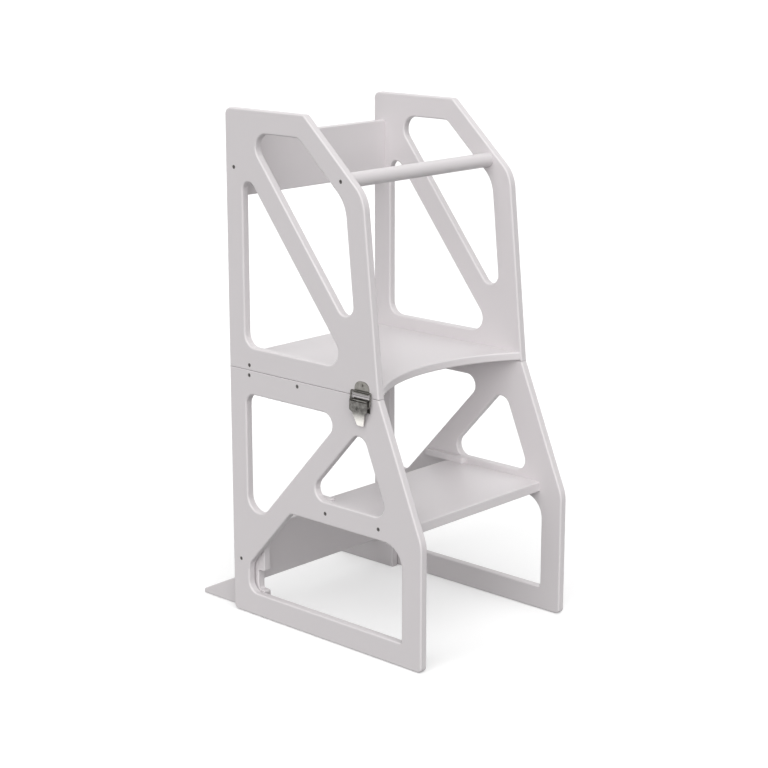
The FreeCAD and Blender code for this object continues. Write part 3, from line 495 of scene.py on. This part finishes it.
def side_edges(
    corners: list[Triple], axis: int, place: float, on_line: float, elsewhere: float
) -> list[float]:
    """Edge rounds of a figure whose side along one line has its own.

    Args:
        corners: Corners of the figure.
        axis: Which of the two outline axes the line is square to.
        place: Where the line crosses that axis.
        on_line: Edge round of the side along the line.
        elsewhere: Edge round of the other sides.

    Returns:
        Edge round of the side after each corner.
    """
    near = [abs(corner[axis] - place) < ON_LINE for corner in corners]
    ahead = near[1:] + near[:1]
    return [on_line if here and there else elsewhere for here, there in zip(near, ahead)]


@dataclass(frozen=True)
class Recess:
    """Round sunk hole in one face of a plate.

    Attributes:
        place: Centre on the face.
        radius: Radius of the hole.
        depth: Depth of its floor.
        face: 1 for the far face of the thickness, -1 for the near one.
    """

    place: Pair
    radius: float
    depth: float
    face: int


@dataclass
class Plate:
    """Plate with rounded edges, openings and sunk holes.

    A column at p with lean d and edge round r follows, while the angle t runs
    from -90 to 90 degrees, the place p - d (1 - cos t) at height h - r + r sin
    t above the middle, mirrored below it, and has the normal n cos t + w sin
    t. The two faces are filled between the innermost rings. No wall is made
    between the two columns of a sharp corner, which stand in one place.

    Attributes:
        outer: Outline of the plate.
        low: Lower end of the thickness.
        high: Upper end of the thickness.
        order: Which of X, Y, Z the two outline axes and the thickness run along.
        holes: Outlines of its openings.
        recesses: Its sunk holes.
        arc: Parts of each rounded edge.
    """

    outer: Outline
    low: float
    high: float
    order: tuple[int, int, int] = (1, 2, 0)
    holes: list[Outline] = field(default_factory=list)
    recesses: list[Recess] = field(default_factory=list)
    arc: int = 5

    def _wall(self, ring: Outline) -> tuple[np.ndarray, np.ndarray]:
        """Rows of places and normals of one loop's wall.

        Args:
            ring: The loop.

        Returns:
            Two arrays of rows by columns by 3.
        """
        quarter = np.linspace(0.0, math.pi / 2.0, self.arc + 1)
        angle = np.concatenate([-quarter[::-1], quarter])
        up = np.repeat([-1.0, 1.0], self.arc + 1)
        half = (self.high - self.low) / 2.0
        middle = (self.high + self.low) / 2.0
        lean = (1.0 - np.cos(angle))[:, None, None]
        flat = ring.point - ring.slide * lean
        rim = np.minimum(ring.round, half)
        height = middle + up[:, None] * (half - rim) + rim * np.sin(angle)[:, None]
        side = ring.normal * np.cos(angle)[:, None, None]
        lift = np.broadcast_to(np.sin(angle)[:, None, None], side.shape[:2] + (1,))
        return np.dstack([flat, height]), np.dstack([side, lift])

    def _sunk(self, hole: Recess) -> tuple[np.ndarray, np.ndarray]:
        """Rings of a sunk hole: the face's rim, the wall's rim and foot, the floor.

        The rings stand at c + R (cos t, sin t), t running backwards.

        Args:
            hole: The hole.

        Returns:
            Places and normals, 4 by N by 3.
        """
        angle = np.linspace(0.0, -2.0 * math.pi, HOLE_PARTS, endpoint=False)
        ring = np.stack([np.cos(angle), np.sin(angle)], axis=1)
        top = self.high if hole.face > 0 else self.low
        foot = top - hole.face * hole.depth
        place = np.empty((4, HOLE_PARTS, 3))
        place[:, :, :2] = np.array(hole.place) + hole.radius * ring
        place[:, :, 2] = np.array([top, top, foot, foot])[:, None]
        normal = np.zeros_like(place)
        normal[1:3, :, :2] = -ring
        normal[[0, 3], :, 2] = hole.face
        return place, normal

    @staticmethod
    def _fill(rings: list[np.ndarray], starts: list[int]) -> np.ndarray:
        """Triangles of a face with holes.

        Args:
            rings: Loops of places, the outer one first.
            starts: Index of each loop's first vertex.

        Returns:
            Vertex indices, T by 3, counter-clockwise seen from above.
        """
        loops = [[Vector((*p[:2], 0.0)) for p in ring] for ring in rings]
        index = np.concatenate([s + np.arange(len(r)) for s, r in zip(starts, rings)])
        flat = np.concatenate([r[:, :2] for r in rings])
        triangles = np.array(tessellate_polygon(loops), int)
        a, b, c = (flat[triangles[:, k]] for k in range(3))
        ab, ac = b - a, c - a
        turn = ab[:, 0] * ac[:, 1] - ab[:, 1] * ac[:, 0]
        triangles[turn < 0] = triangles[turn < 0][:, ::-1]
        return index[triangles[np.abs(turn) > NO_AREA]]

    def build(self, name: str) -> bpy.types.Object:
        """Makes the mesh.

        Args:
            name: Name of the piece.

        Returns:
            The new object.
        """
        places, normals, quads, floors, start = [], [], [], [], 0
        # rings and first indices of the far and the near face
        caps = {1: ([], []), -1: ([], [])}
        for ring in [self.outer, *self.holes]:
            place, normal = self._wall(ring)
            rows, columns = place.shape[:2]
            here = start + np.arange((rows - 1) * columns).reshape(-1, columns)
            beside = np.roll(here, -1, axis=1)
            quad = np.stack([here, beside, beside + columns, here + columns], axis=-1)
            gap = np.roll(ring.point, -1, axis=0) - ring.point
            apart = np.linalg.norm(gap, axis=1) > SAME_PLACE
            quads.append(quad[:, apart].reshape(-1, 4))
            places.append(place.reshape(-1, 3))
            normals.append(normal.reshape(-1, 3))
            for face, row in ((-1, 0), (1, rows - 1)):
                caps[face][0].append(place[row])
                caps[face][1].append(start + row * columns)
            start += rows * columns
        for hole in self.recesses:
            place, normal = self._sunk(hole)
            places.append(place.reshape(-1, 3))
            normals.append(normal.reshape(-1, 3))
            caps[hole.face][0].append(place[0])
            caps[hole.face][1].append(start)
            _, rim, foot, ground = start + np.arange(4 * HOLE_PARTS).reshape(4, -1)
            wall = np.stack([foot, np.roll(foot, -1), np.roll(rim, -1), rim], axis=-1)
            quads.append(wall[:, :: hole.face])
            floors.append(ground[:: -hole.face])
            start += 4 * HOLE_PARTS
        faces = np.concatenate(quads).tolist()
        faces += self._fill(*caps[1]).tolist()
        faces += self._fill(*caps[-1])[:, ::-1].tolist()
        faces += [floor.tolist() for floor in floors]
        turned = np.argsort(self.order)
        points, leans = (np.concatenate(rings)[:, turned] for rings in (places, normals))
        return put_mesh(name, points, faces, leans)


def put_mesh(
    name: str, points: np.ndarray, faces: list[list[int]], normals: np.ndarray
) -> bpy.types.Object:
    """Smooth mesh object at the origin.

    Args:
        name: Name of the object.
        points: Its vertices, N by 3.
        faces: Vertex indices of its faces.
        normals: Normal of each vertex.

    Returns:
        The object.
    """
    mesh = bpy.data.meshes.new(name)
    mesh.from_pydata(points.tolist(), [], faces)
    mesh.polygons.foreach_set("use_smooth", [True] * len(mesh.polygons))
    mesh.validate()
    unit = normals / np.linalg.norm(normals, axis=1)[:, None]
    mesh.normals_split_custom_set_from_vertices(unit.tolist())
    mesh.update()
    piece = bpy.data.objects.new(name, mesh)
    bpy.context.collection.objects.link(piece)
    return piece


def stand_in(plate: Plate, node: str, body: str, finish: Material) -> None:
    """Builds a plate and lets it stand for a solid.

    Args:
        plate: The plate.
        node: Name of the solid.
        body: Name of the body it rides on.
        finish: Its material.
    """
    piece = plate.build(f"{node}_skin")
    piece.data.materials.append(finish)
    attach(piece, body)
    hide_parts(node)
    log.info("made %s with %d faces", node, len(piece.data.polygons))


@dataclass(frozen=True)
class Build:
    """Main sizes of the stool, in metres.

    Attributes:
        height: Height of the stool.
        half_width: Distance of the panels' outer faces from the middle.
        sheet: Thickness of the boards.
        rear: Y of the panels' rear edge. Depths run forward from there.
        edge: Edge round of the panels.
        board_edge: Edge round of the boards.
        end_edge: Edge round where a board meets another.
        seam_edge: Edge round of the panels at the seam.
        seam_gap: Air that each half leaves at the seam.
        sunk: Radius and depth of the holes over the sunk screws.
    """

    height: float = 0.900
    half_width: float = 0.1925
    sheet: float = 0.015
    rear: float = 0.175
    edge: float = 0.003
    board_edge: float = 0.002
    end_edge: float = 0.0006
    seam_edge: float = 0.0010
    seam_gap: float = 0.00035
    sunk: Pair = (0.00355, 0.0035)

    @property
    def seam(self) -> float:
        """Height of the seam between the halves."""
        return self.height / 2.0

    @property
    def inner(self) -> float:
        """Distance of the panels' inner faces from the middle."""
        return self.half_width - self.sheet

    def at_depth(self, depth: float) -> float:
        """Turns a depth into Y.

        Args:
            depth: Distance forward from the panels' rear edge.

        Returns:
            The Y of that place.
        """
        return self.rear - depth


BUILD = Build()


def sloped(start: Pair, end: Pair, shift: float) -> Line:
    """Line through two points, moved to its left.

    Args:
        start: First point.
        end: Second point.
        shift: Distance moved.

    Returns:
        Point and unit direction.
    """
    run = np.subtract(end, start)
    run = run / np.linalg.norm(run)
    return np.array(start) + shift * np.array([-run[1], run[0]]), run


def level(height: float) -> Line:
    """Level line.

    Args:
        height: Its height.

    Returns:
        Point and unit direction.
    """
    return np.array([0.0, height]), np.array([1.0, 0.0])


def plumb(depth: float) -> Line:
    """Upright line.

    Args:
        depth: Its depth.

    Returns:
        Point and unit direction.
    """
    return np.array([depth, 0.0]), np.array([0.0, 1.0])


def figure(lines: list[Line], radii: tuple[float, ...]) -> list[Triple]:
    """Corners between neighbouring lines.

    The lines p + s u and q + t v meet where s u - t v = q - p.

    Args:
        lines: The lines round the figure, in order.
        radii: Radius of the corner before each line.

    Returns:
        Depth, height and radius of each corner.
    """
    corners = []
    for (p, u), (q, v), radius in zip([lines[-1], *lines], lines, radii):
        along = np.linalg.solve(np.stack([u, -v], axis=1), q - p)[0]
        corners.append((*(p + u * along), radius))
    return corners


def on_panel(corners: list[Triple]) -> list[Triple]:
    """Turns depths into Y and puts the corners in counter-clockwise order.

    Args:
        corners: Depth, height and radius of each corner.

    Returns:
        Y, height and radius of each corner.
    """
    turned = [(BUILD.at_depth(d), h, r) for d, h, r in corners]
    flat = np.array([c[:2] for c in turned])
    ahead = np.roll(flat, -1, axis=0)
    area = float(np.sum(flat[:, 0] * ahead[:, 1] - ahead[:, 0] * flat[:, 1]))
    return turned if area > 0 else turned[::-1]


@dataclass
class SidePanels:
    """The four cut panels.

    Rounds stand in the order in which their figure's lines or corners run.

    Attributes:
        finish: Their paint.
        seam_depth: Depth of the panels at the seam.
        crown_depth: Depth at which the level top ends.
        shoulder: Depth and height of the bend in the upper front edge.
        knee: Depth and height of the bend in the lower front edge.
        bend_round: Round of both bends.
        top_rounds: Rounds at the two ends of the level top.
        foot_round: Round of the lower panels' bottom corners.
        stile: Width of the rear uprights.
        upper_brace: Height at the rear edge, depth at the seam and half the width.
        upper_rails: Rails under the top, under the slope, behind the front, over the seam.
        upper_rounds: Rounds of the front and of the rear opening.
        lower_brace: Height at the rear edge, depth at the seam and half the width.
        lower_rails: Rails under the seam, behind the front, behind the post, over the floor.
        step_rail: Lower and upper edge of the rail at the step.
        lower_rounds: Rounds of the top, middle and bottom opening.
        upper_screws: Depth and height of the upper panels' screws.
        lower_screws: Depth and height of the lower panels' screws.
        arc_parts: Parts of each arc of the outline, of the openings, and of the edge.
    """

    finish: Material
    seam_depth: float = 0.355
    crown_depth: float = 0.188
    shoulder: Pair = (0.322, 0.778)
    knee: Pair = (0.450, 0.222)
    bend_round: float = 0.060
    top_rounds: Pair = (0.012, 0.010)
    foot_round: float = 0.009
    stile: float = 0.040
    upper_brace: Triple = (0.889, 0.347, 0.0205)
    upper_rails: Four = (0.039, 0.0375, 0.042, 0.0405)
    upper_rounds: tuple[tuple[float, ...], ...] = (
        (0.018, 0.024, 0.015, 0.060),
        (0.024, 0.015, 0.024),
    )
    lower_brace: Triple = (0.077, 0.338, 0.019)
    lower_rails: Four = (0.043, 0.0575, 0.044, 0.042)
    step_rail: Pair = (0.210, 0.250)
    lower_rounds: tuple[tuple[float, ...], ...] = (
        (0.020, 0.028, 0.020),
        (0.020, 0.020, 0.020),
        (0.020, 0.030, 0.015, 0.040, 0.004),
    )
    upper_screws: tuple[Pair, ...] = (
        (0.050, 0.459),
        (0.310, 0.459),
        (0.020, 0.800),
        (0.27202, 0.79916),
    )
    lower_screws: tuple[Pair, ...] = (
        (0.049, 0.441),
        (0.167, 0.441),
        (0.231, 0.2295),
        (0.354, 0.2295),
        (0.020, 0.09925),
    )
    arc_parts: tuple[int, int, int] = (14, 12, 6)

    def _upper_figures(self) -> list[list[Triple]]:
        """Outline and openings of an upper panel.

        Returns:
            Corners of each figure, the outline first.
        """
        seam, top = BUILD.seam, BUILD.height
        crown, joint = (self.crown_depth, top), (self.seam_depth, seam)
        head, foot, half = self.upper_brace
        brace = (0.0, head), (foot, seam)
        under_top, under_slope, behind_front, over_seam = self.upper_rails
        base = seam + BUILD.seam_gap
        outline = [
            (0.0, base, 0.0),
            (0.0, top, self.top_rounds[0]),
            (*crown, self.top_rounds[1]),
            (*self.shoulder, self.bend_round),
            (self.seam_depth, base, 0.0),
        ]
        front = [
            sloped(*brace, half),
            level(top - under_top),
            sloped(crown, self.shoulder, -under_slope),
            sloped(self.shoulder, joint, -behind_front),
        ]
        rear = [plumb(self.stile), sloped(*brace, -half), level(seam + over_seam)]
        openings = zip((front, rear), self.upper_rounds)
        return [outline, *(figure(lines, radii) for lines, radii in openings)]

    def _lower_figures(self) -> list[list[Triple]]:
        """Outline and openings of a lower panel.

        Returns:
            Corners of each figure, the outline first.
        """
        seam, toe = BUILD.seam, self.knee[0]
        foot, head, half = self.lower_brace
        brace = (0.0, foot), (head, seam)
        under_seam, behind_front, post, over_floor = self.lower_rails
        step_low, step_high = self.step_rail
        brow = seam - BUILD.seam_gap
        outline = [
            (0.0, 0.0, self.foot_round),
            (0.0, brow, 0.0),
            (self.seam_depth, brow, 0.0),
            (*self.knee, self.bend_round),
            (toe, 0.0, self.foot_round),
        ]
        top = [plumb(self.stile), sloped(*brace, half), level(seam - under_seam)]
        middle = [
            sloped(*brace, -half),
            level(step_high),
            sloped((self.seam_depth, seam), self.knee, -behind_front),
        ]
        bottom = [
            plumb(self.stile),
            sloped(*brace, -half),
            level(step_low),
            plumb(toe - post),
            level(over_floor),
        ]
        openings = zip((top, middle, bottom), self.lower_rounds)
        return [outline, *(figure(lines, radii) for lines, radii in openings)]

    def _panel(self, side: Side, figures: list[list[Triple]], screws: tuple[Pair, ...]) -> Plate:
        """One panel.

        Args:
            side: Its side.
            figures: Its outline, then its openings.
            screws: Depth and height of its sunk screws.

        Returns:
            The plate.
        """
        outer, *openings = [on_panel(corners) for corners in figures]
        outer_parts, hole_parts, edge_parts = self.arc_parts
        edges = side_edges(outer, 1, BUILD.seam, BUILD.seam_edge, BUILD.edge)
        low, high = sorted((side.value * BUILD.half_width, side.value * BUILD.inner))
        sunk = [Recess((BUILD.at_depth(d), h), *BUILD.sunk, side.value) for d, h in screws]
        ring = loop_outline(outer, edges, outer_parts)
        holes = [loop_outline(c, BUILD.edge, hole_parts).inside_out() for c in openings]
        return Plate(ring, low, high, holes=holes, recesses=sunk, arc=edge_parts)

    def build(self) -> None:
        """Makes the four panels and lets them stand for the solids."""
        for side in Side:
            for half, figures, screws in (
                ("upper", self._upper_figures(), self.upper_screws),
                ("lower", self._lower_figures(), self.lower_screws),
            ):
                plate = self._panel(side, figures, screws)
                stand_in(plate, f"{half}_{side.word}_panel", f"{half}_half", self.finish)


def arched_outline(half: float, rear: float, front: float, dip: float, edge: float) -> Outline:
    """Outline of a board whose front edge curves in.

    The front edge is an arc of radius R = (w^2 + d^2) / 2d about the point at
    front + d - R, for half width w and dip d, and its outward normal points at
    that centre.

    Args:
        half: Half the board's width.
        rear: Y of its rear edge.
        front: Y of the two tips of its front edge.
        dip: Depth of the curve.
        edge: Edge round of the curved front.

    Returns:
        The outline, counter-clockwise.
    """
    radius = (half**2 + dip**2) / (2.0 * dip)
    centre = np.array([0.0, front + dip - radius])
    sweep = math.asin(half / radius)
    angle = math.pi / 2.0 + sweep * np.linspace(1.0, -1.0, HOLLOW_COLUMNS)
    curve = centre + radius * np.stack([np.cos(angle), np.sin(angle)], axis=1)
    inward = (centre - curve) / radius
    left, right, back = np.array([[-1.0, 0.0], [1.0, 0.0], [0.0, 1.0]])
    small = BUILD.end_edge
    return joined(
        [
            sharp_columns(np.array([-half, rear]), (back, left), (small, small)),
            sharp_columns(curve[0], (left, inward[0]), (small, edge)),
            (curve[1:-1], inward[1:-1], inward[1:-1] * edge, np.full(HOLLOW_COLUMNS - 2, edge)),
            sharp_columns(curve[-1], (inward[-1], right), (edge, small)),
            sharp_columns(np.array([half, rear]), (right, back), (small, small)),
        ]
    )


@dataclass
class Boards:
    """The boards between the panels, the toes, the cleats and the guard bar.

    Attributes:
        finish: Their paint.
        platform: Underside of the platform, and depth of its front tips.
        platform_dip: Depth of the platform's hollow front.
        ledge: Underside and depth of the ledge.
        step: Rear and front depth, underside and top of the step.
        back_rear: Depth of the back boards' rear faces.
        upper_back: Lower and upper edge of the upper back board.
        lower_back: Lower and upper edge of the lower back board.
        bar: Depth and height of the guard bar.
        bar_radius: Its radius.
        bar_fullness: Share of the radius to which its section's corners are rounded.
        foot_outer: Distance of the toe boards' outer faces from the middle.
        foot_front: Depth of their uprights' front edge.
        foot_base: Height of the toe where it passes under the back board.
        notch: Depth, lower and upper edge of the upright's notch.
        toe: Reach of the flat and of the nose behind the panels, and the nose's height.
        foot_rounds: Rounds of the upright's and notch's corners, the toe's bend and the nose.
        foot_screws: Heights of the screws in the lower back board.
        cleat: Rear depth, front depth and width of the cleats.
        cleat_rounds: Edge round and free end's round of the cleats.
        arc_parts: Parts of each arc of the boards, and of the bar.
        edge_parts: Parts of the edges of cross pieces, of upright boards and of cleats.
    """

    finish: Material
    platform: Pair = (0.4515, 0.352)
    platform_dip: float = 0.057
    ledge: Pair = (0.4335, 0.215)
    step: Four = (0.190, 0.402, 0.2205, 0.2385)
    back_rear: float = 0.0125
    upper_back: Pair = (0.750, 0.850)
    lower_back: Pair = (0.050, 0.1485)
    bar: Pair = (0.27202, 0.79916)
    bar_radius: float = 0.0125
    bar_fullness: float = 0.9999
    foot_outer: float = 0.1755
    foot_front: float = 0.062
    foot_base: float = 0.049
    notch: Triple = (0.0155, 0.043, 0.079)
    toe: Triple = (0.018, 0.100, 0.008)
    foot_rounds: Triple = (0.004, 0.030, 0.006)
    foot_screws: Pair = (0.089, 0.1285)
    cleat: Triple = (0.142, 0.230, 0.012)
    cleat_rounds: Pair = (0.001, 0.004)
    arc_parts: tuple[int, int] = (6, 16)
    edge_parts: tuple[int, int, int] = (2, 4, 3)

    def _across(self, node: str, body: str, corners: list[Triple], steps: int) -> None:
        """Piece that runs across between the panels, from its section.

        Args:
            node: Name of the solid.
            body: Name of its body.
            corners: Depth, height and radius of the section's corners.
            steps: Parts of each arc of the section.
        """
        ring = loop_outline(on_panel(corners), BUILD.end_edge, steps)
        plate = Plate(ring, -BUILD.inner, BUILD.inner, arc=self.edge_parts[0])
        stand_in(plate, node, body, self.finish)

    def _platform(self) -> None:
        """Standing platform with its curved front edge."""
        low, tips = self.platform
        rear, front = BUILD.at_depth(0.0), BUILD.at_depth(tips)
        ring = arched_outline(BUILD.inner, rear, front, self.platform_dip, BUILD.edge)
        plate = Plate(ring, low, low + BUILD.sheet, (0, 1, 2))
        stand_in(plate, "platform_board", "upper_half", self.finish)

    def _back_board(self, node: str, body: str, span: Pair, sunk: list[Recess]) -> None:
        """Upright board at the rear.

        Args:
            node: Name of the solid.
            body: Name of its body.
            span: Lower and upper edge.
            sunk: Sunk holes in its rear face.
        """
        low, high = span
        half = BUILD.inner
        corners = [(low, -half, 0.0), (high, -half, 0.0), (high, half, 0.0), (low, half, 0.0)]
        ring = loop_outline(corners, [BUILD.end_edge, BUILD.board_edge] * 2)
        rear = BUILD.at_depth(self.back_rear)
        upright = self.edge_parts[1]
        plate = Plate(ring, rear - BUILD.sheet, rear, (2, 0, 1), recesses=sunk, arc=upright)
        stand_in(plate, node, body, self.finish)

    def _foot(self, side: Side) -> None:
        """Toe board with its upright and notch.

        Args:
            side: Its side.
        """
        front, base = self.foot_front, self.foot_base
        depth, notch_low, notch_high = self.notch
        flat, length, nose = self.toe
        tight, bend, tip = self.foot_rounds
        board_front = self.back_rear + BUILD.sheet
        top = self.lower_back[1]
        inset = front - depth
        corners = [
            (front, 0.0, 0.0),
            (front, notch_low, tight),
            (inset, notch_low, tight),
            (inset, notch_high, tight),
            (front, notch_high, tight),
            (front, top, tight),
            (board_front, top, 0.0),
            (board_front, base, 0.0),
            (-flat, base, bend),
            (-length, nose, tip),
            (-length, 0.0, 0.0),
        ]
        turned = on_panel(corners)
        meeting = BUILD.at_depth(board_front)
        edges = side_edges(turned, 0, meeting, BUILD.end_edge, BUILD.board_edge)
        faces = self.foot_outer, self.foot_outer - BUILD.sheet
        low, high = sorted(side.value * face for face in faces)
        ring = loop_outline(turned, edges, self.arc_parts[0])
        plate = Plate(ring, low, high, arc=self.edge_parts[1])
        stand_in(plate, f"{side.word}_foot_board", "lower_half", self.finish)

    def _cleat(self, side: Side) -> None:
        """Small batten on the step, against the panel.

        Args:
            side: Its side.
        """
        rear, front, width = self.cleat
        edge, end = self.cleat_rounds
        low = self.step[3]
        wall, free = side.value * BUILD.inner, side.value * (BUILD.inner - width)
        corners = [
            (wall, BUILD.at_depth(rear), 0.0),
            (free, BUILD.at_depth(rear), 0.0),
            (free, BUILD.at_depth(front), end),
            (wall, BUILD.at_depth(front), 0.0),
        ]
        # the left one's corners run clockwise
        ring = loop_outline(corners[:: side.value], edge, self.arc_parts[0])
        plate = Plate(ring, low, low + width, (0, 1, 2), arc=self.edge_parts[2])
        stand_in(plate, f"{side.word}_step_cleat", "lower_half", self.finish)

    def build(self) -> None:
        """Makes all boards."""
        rim = BUILD.board_edge
        parts, bar_parts = self.arc_parts
        self._platform()
        low, depth = self.ledge
        high = low + BUILD.sheet
        ledge = [(0.0, low, 0.0), (depth, low, rim), (depth, high, rim), (0.0, high, 0.0)]
        self._across("ledge_board", "lower_half", ledge, parts)
        rear, front, low, high = self.step
        step = [(rear, low, rim), (front, low, rim), (front, high, rim), (rear, high, rim)]
        self._across("step_board", "lower_half", step, parts)
        (depth, height), radius = self.bar, self.bar_radius
        section = [
            (depth + u * radius, height + v * radius, radius * self.bar_fullness)
            for u, v in SQUARE
        ]
        self._across("guard_bar", "upper_half", section, bar_parts)
        self._back_board("upper_back_board", "upper_half", self.upper_back, [])
        across = self.foot_outer - BUILD.sheet / 2.0
        sunk = [
            Recess((height, side.value * across), *BUILD.sunk, 1)
            for side in Side
            for height in self.foot_screws
        ]
        self._back_board("lower_back_board", "lower_half", self.lower_back, sunk)
        for side in Side:
            self._foot(side)
            self._cleat(side)


@dataclass
class Fittings:
    """Hinges, latches and screws.

    Attributes:
        finishes: Source of the metals.
        metals: Metals by a part of the solid's name. The first that fits counts.
    """

    finishes: Finishes
    metals: tuple[tuple[str, MetalFinish], ...] = (
        ("hinge", ZINC),
        ("latch_base_screws", NICKEL),
        # the latch base and loop get painted shade, the lever a painted highlight at its tip
        ("latch_base", SHADED_NICKEL),
        ("latch_loop", SHADED_NICKEL),
        ("latch_lever", LEVER_NICKEL),
        ("latch", NICKEL),
        ("screws", BLACKENED),
    )

    def build(self) -> None:
        """Gives each fitting of the frame its metal."""
        for node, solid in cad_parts.items():
            for word, finish in self.metals:
                if word in node:
                    slots = solid.data.materials
                    slots.clear()
                    slots.append(self.finishes.metal(finish))
                    log.info("dressed %s in %s", node, finish.name)
                    break


@dataclass(frozen=True)
class Lamp:
    """Soft lamp far away.

    Attributes:
        name: Name of the lamp.
        source: Direction that the light comes from.
        strength: Strength of the lamp.
        spread: Apparent size in degrees.
        mirrored: Whether gloss shows the lamp.
    """

    name: str
    source: Triple
    strength: float
    spread: float
    mirrored: bool = True

    def build(self) -> None:
        """Hangs the lamp."""
        lamp = bpy.data.lights.new(self.name, "SUN")
        lamp.energy = self.strength
        lamp.angle = math.radians(self.spread)
        holder = bpy.data.objects.new(self.name, lamp)
        bpy.context.collection.objects.link(holder)
        holder.visible_glossy = self.mirrored
        holder.rotation_euler = Vector(self.source).to_track_quat("Z", "Y").to_euler()


@dataclass
class Studio:
    """Floor, sky, lamps and camera.

    Attributes:
        eye: Place of the camera.
        azimuth: Heading of the view from +Y towards +X, in degrees.
        elevation: Angle of the view below the horizon, in degrees.
        focal: Focal length in millimetres.
        sensor: Width of the sensor in millimetres.
        far: Distance up to which the camera sees.
        sky: Strength of the sky as light.
        lamps: The lamps.
        floor_half: Half the width of the floor.
        floor_drop: Distance of the floor below the stool.
        floor_grey: Grey of the floor where it is seen.
        floor_glow: Glow that lifts the seen floor to white outside the shadow.
        floor_bounce: Grey of the floor for bounced light.
    """

    eye: Triple = (-2.3775, -2.215, 1.2346)
    azimuth: float = 47.21
    elevation: float = 14.22
    focal: float = 89.06
    sensor: float = 36.0
    far: float = 200.0
    sky: float = 0.33
    lamps: tuple[Lamp, ...] = (
        Lamp("key_light", (-0.66, -0.54, 0.56), 3.2, 90.0),
        Lamp("fill_light", (0.3, -0.6, 1.3), 0.15, 50.0),
        Lamp("back_light", (0.75, 0.65, 0.24), 1.8, 90.0, mirrored=False),
    )
    floor_half: float = 60.0
    floor_drop: float = 0.0006
    floor_grey: float = 0.7
    floor_glow: float = 0.36
    floor_bounce: float = 0.16

    def build(self) -> None:
        """Sets the whole stage."""
        self._floor()
        self._sky()
        for lamp in self.lamps:
            lamp.build()
        self._camera()
        bpy.context.scene.view_settings.view_transform = "Standard"
        log.info("studio set")

    def _floor(self) -> None:
        """Large white floor that keeps the stool's shadow."""
        mesh = bpy.data.meshes.new("floor")
        half = self.floor_half
        corners = [(u * half, v * half, 0.0) for u, v in SQUARE]
        mesh.from_pydata(corners, [], [[0, 1, 2, 3]])
        floor = bpy.data.objects.new("floor", mesh)
        bpy.context.collection.objects.link(floor)
        floor.location.z = -self.floor_drop
        material = bpy.data.materials.new("white_floor")
        material.use_nodes = True
        tree = material.node_tree
        tree.nodes.clear()
        seen = add_node(tree, "ShaderNodeBsdfDiffuse", {"Color": (*[self.floor_grey] * 3, 1.0)})
        glow = add_node(tree, "ShaderNodeEmission", {"Strength": self.floor_glow})
        both = add_node(tree, "ShaderNodeAddShader", {0: seen.outputs[0], 1: glow.outputs[0]})
        dim = add_node(tree, "ShaderNodeBsdfDiffuse", {"Color": (*[self.floor_bounce] * 3, 1.0)})
        choice = {0: in_plain_sight(tree), 1: dim.outputs[0], 2: both.outputs[0]}
        pick = add_node(tree, "ShaderNodeMixShader", choice)
        add_node(tree, "ShaderNodeOutputMaterial", {"Surface": pick.outputs[0]})
        mesh.materials.append(material)

    def _sky(self) -> None:
        """Even sky for light, plain white to the camera and in reflections."""
        world = bpy.data.worlds.new("studio_sky")
        bpy.context.scene.world = world
        world.use_nodes = True
        tree = world.node_tree
        tree.nodes.clear()
        share = {"Factor": in_plain_sight(tree), "A": self.sky, "B": 1.0}
        strength = add_node(tree, "ShaderNodeMix", share, data_type="FLOAT").outputs["Result"]
        light = {"Color": WHITE, "Strength": strength}
        back = add_node(tree, "ShaderNodeBackground", light)
        add_node(tree, "ShaderNodeOutputWorld", {"Surface": back.outputs[0]})

    def _camera(self) -> None:
        """Camera at the photograph's viewpoint."""
        lens = bpy.data.cameras.new("camera")
        lens.lens = self.focal
        lens.sensor_width = self.sensor
        lens.clip_end = self.far
        camera = bpy.data.objects.new("camera", lens)
        bpy.context.collection.objects.link(camera)
        camera.location = self.eye
        heading, dip = math.radians(self.azimuth), math.radians(self.elevation)
        along = math.cos(dip)
        gaze = Vector((math.sin(heading) * along, math.cos(heading) * along, -math.sin(dip)))
        camera.rotation_euler = gaze.to_track_quat("-Z", "Y").to_euler()
        bpy.context.scene.camera = camera


def main() -> None:
    """Builds every sub-assembly in order."""
    logging.basicConfig(level=logging.INFO, format="%(message)s")
    finishes = Finishes()
    grey = finishes.paint(LIGHT_GREY)
    SidePanels(grey).build()
    Boards(grey).build()
    Fittings(finishes).build()
    Studio().build()


if __name__ == "__main__":
    main()
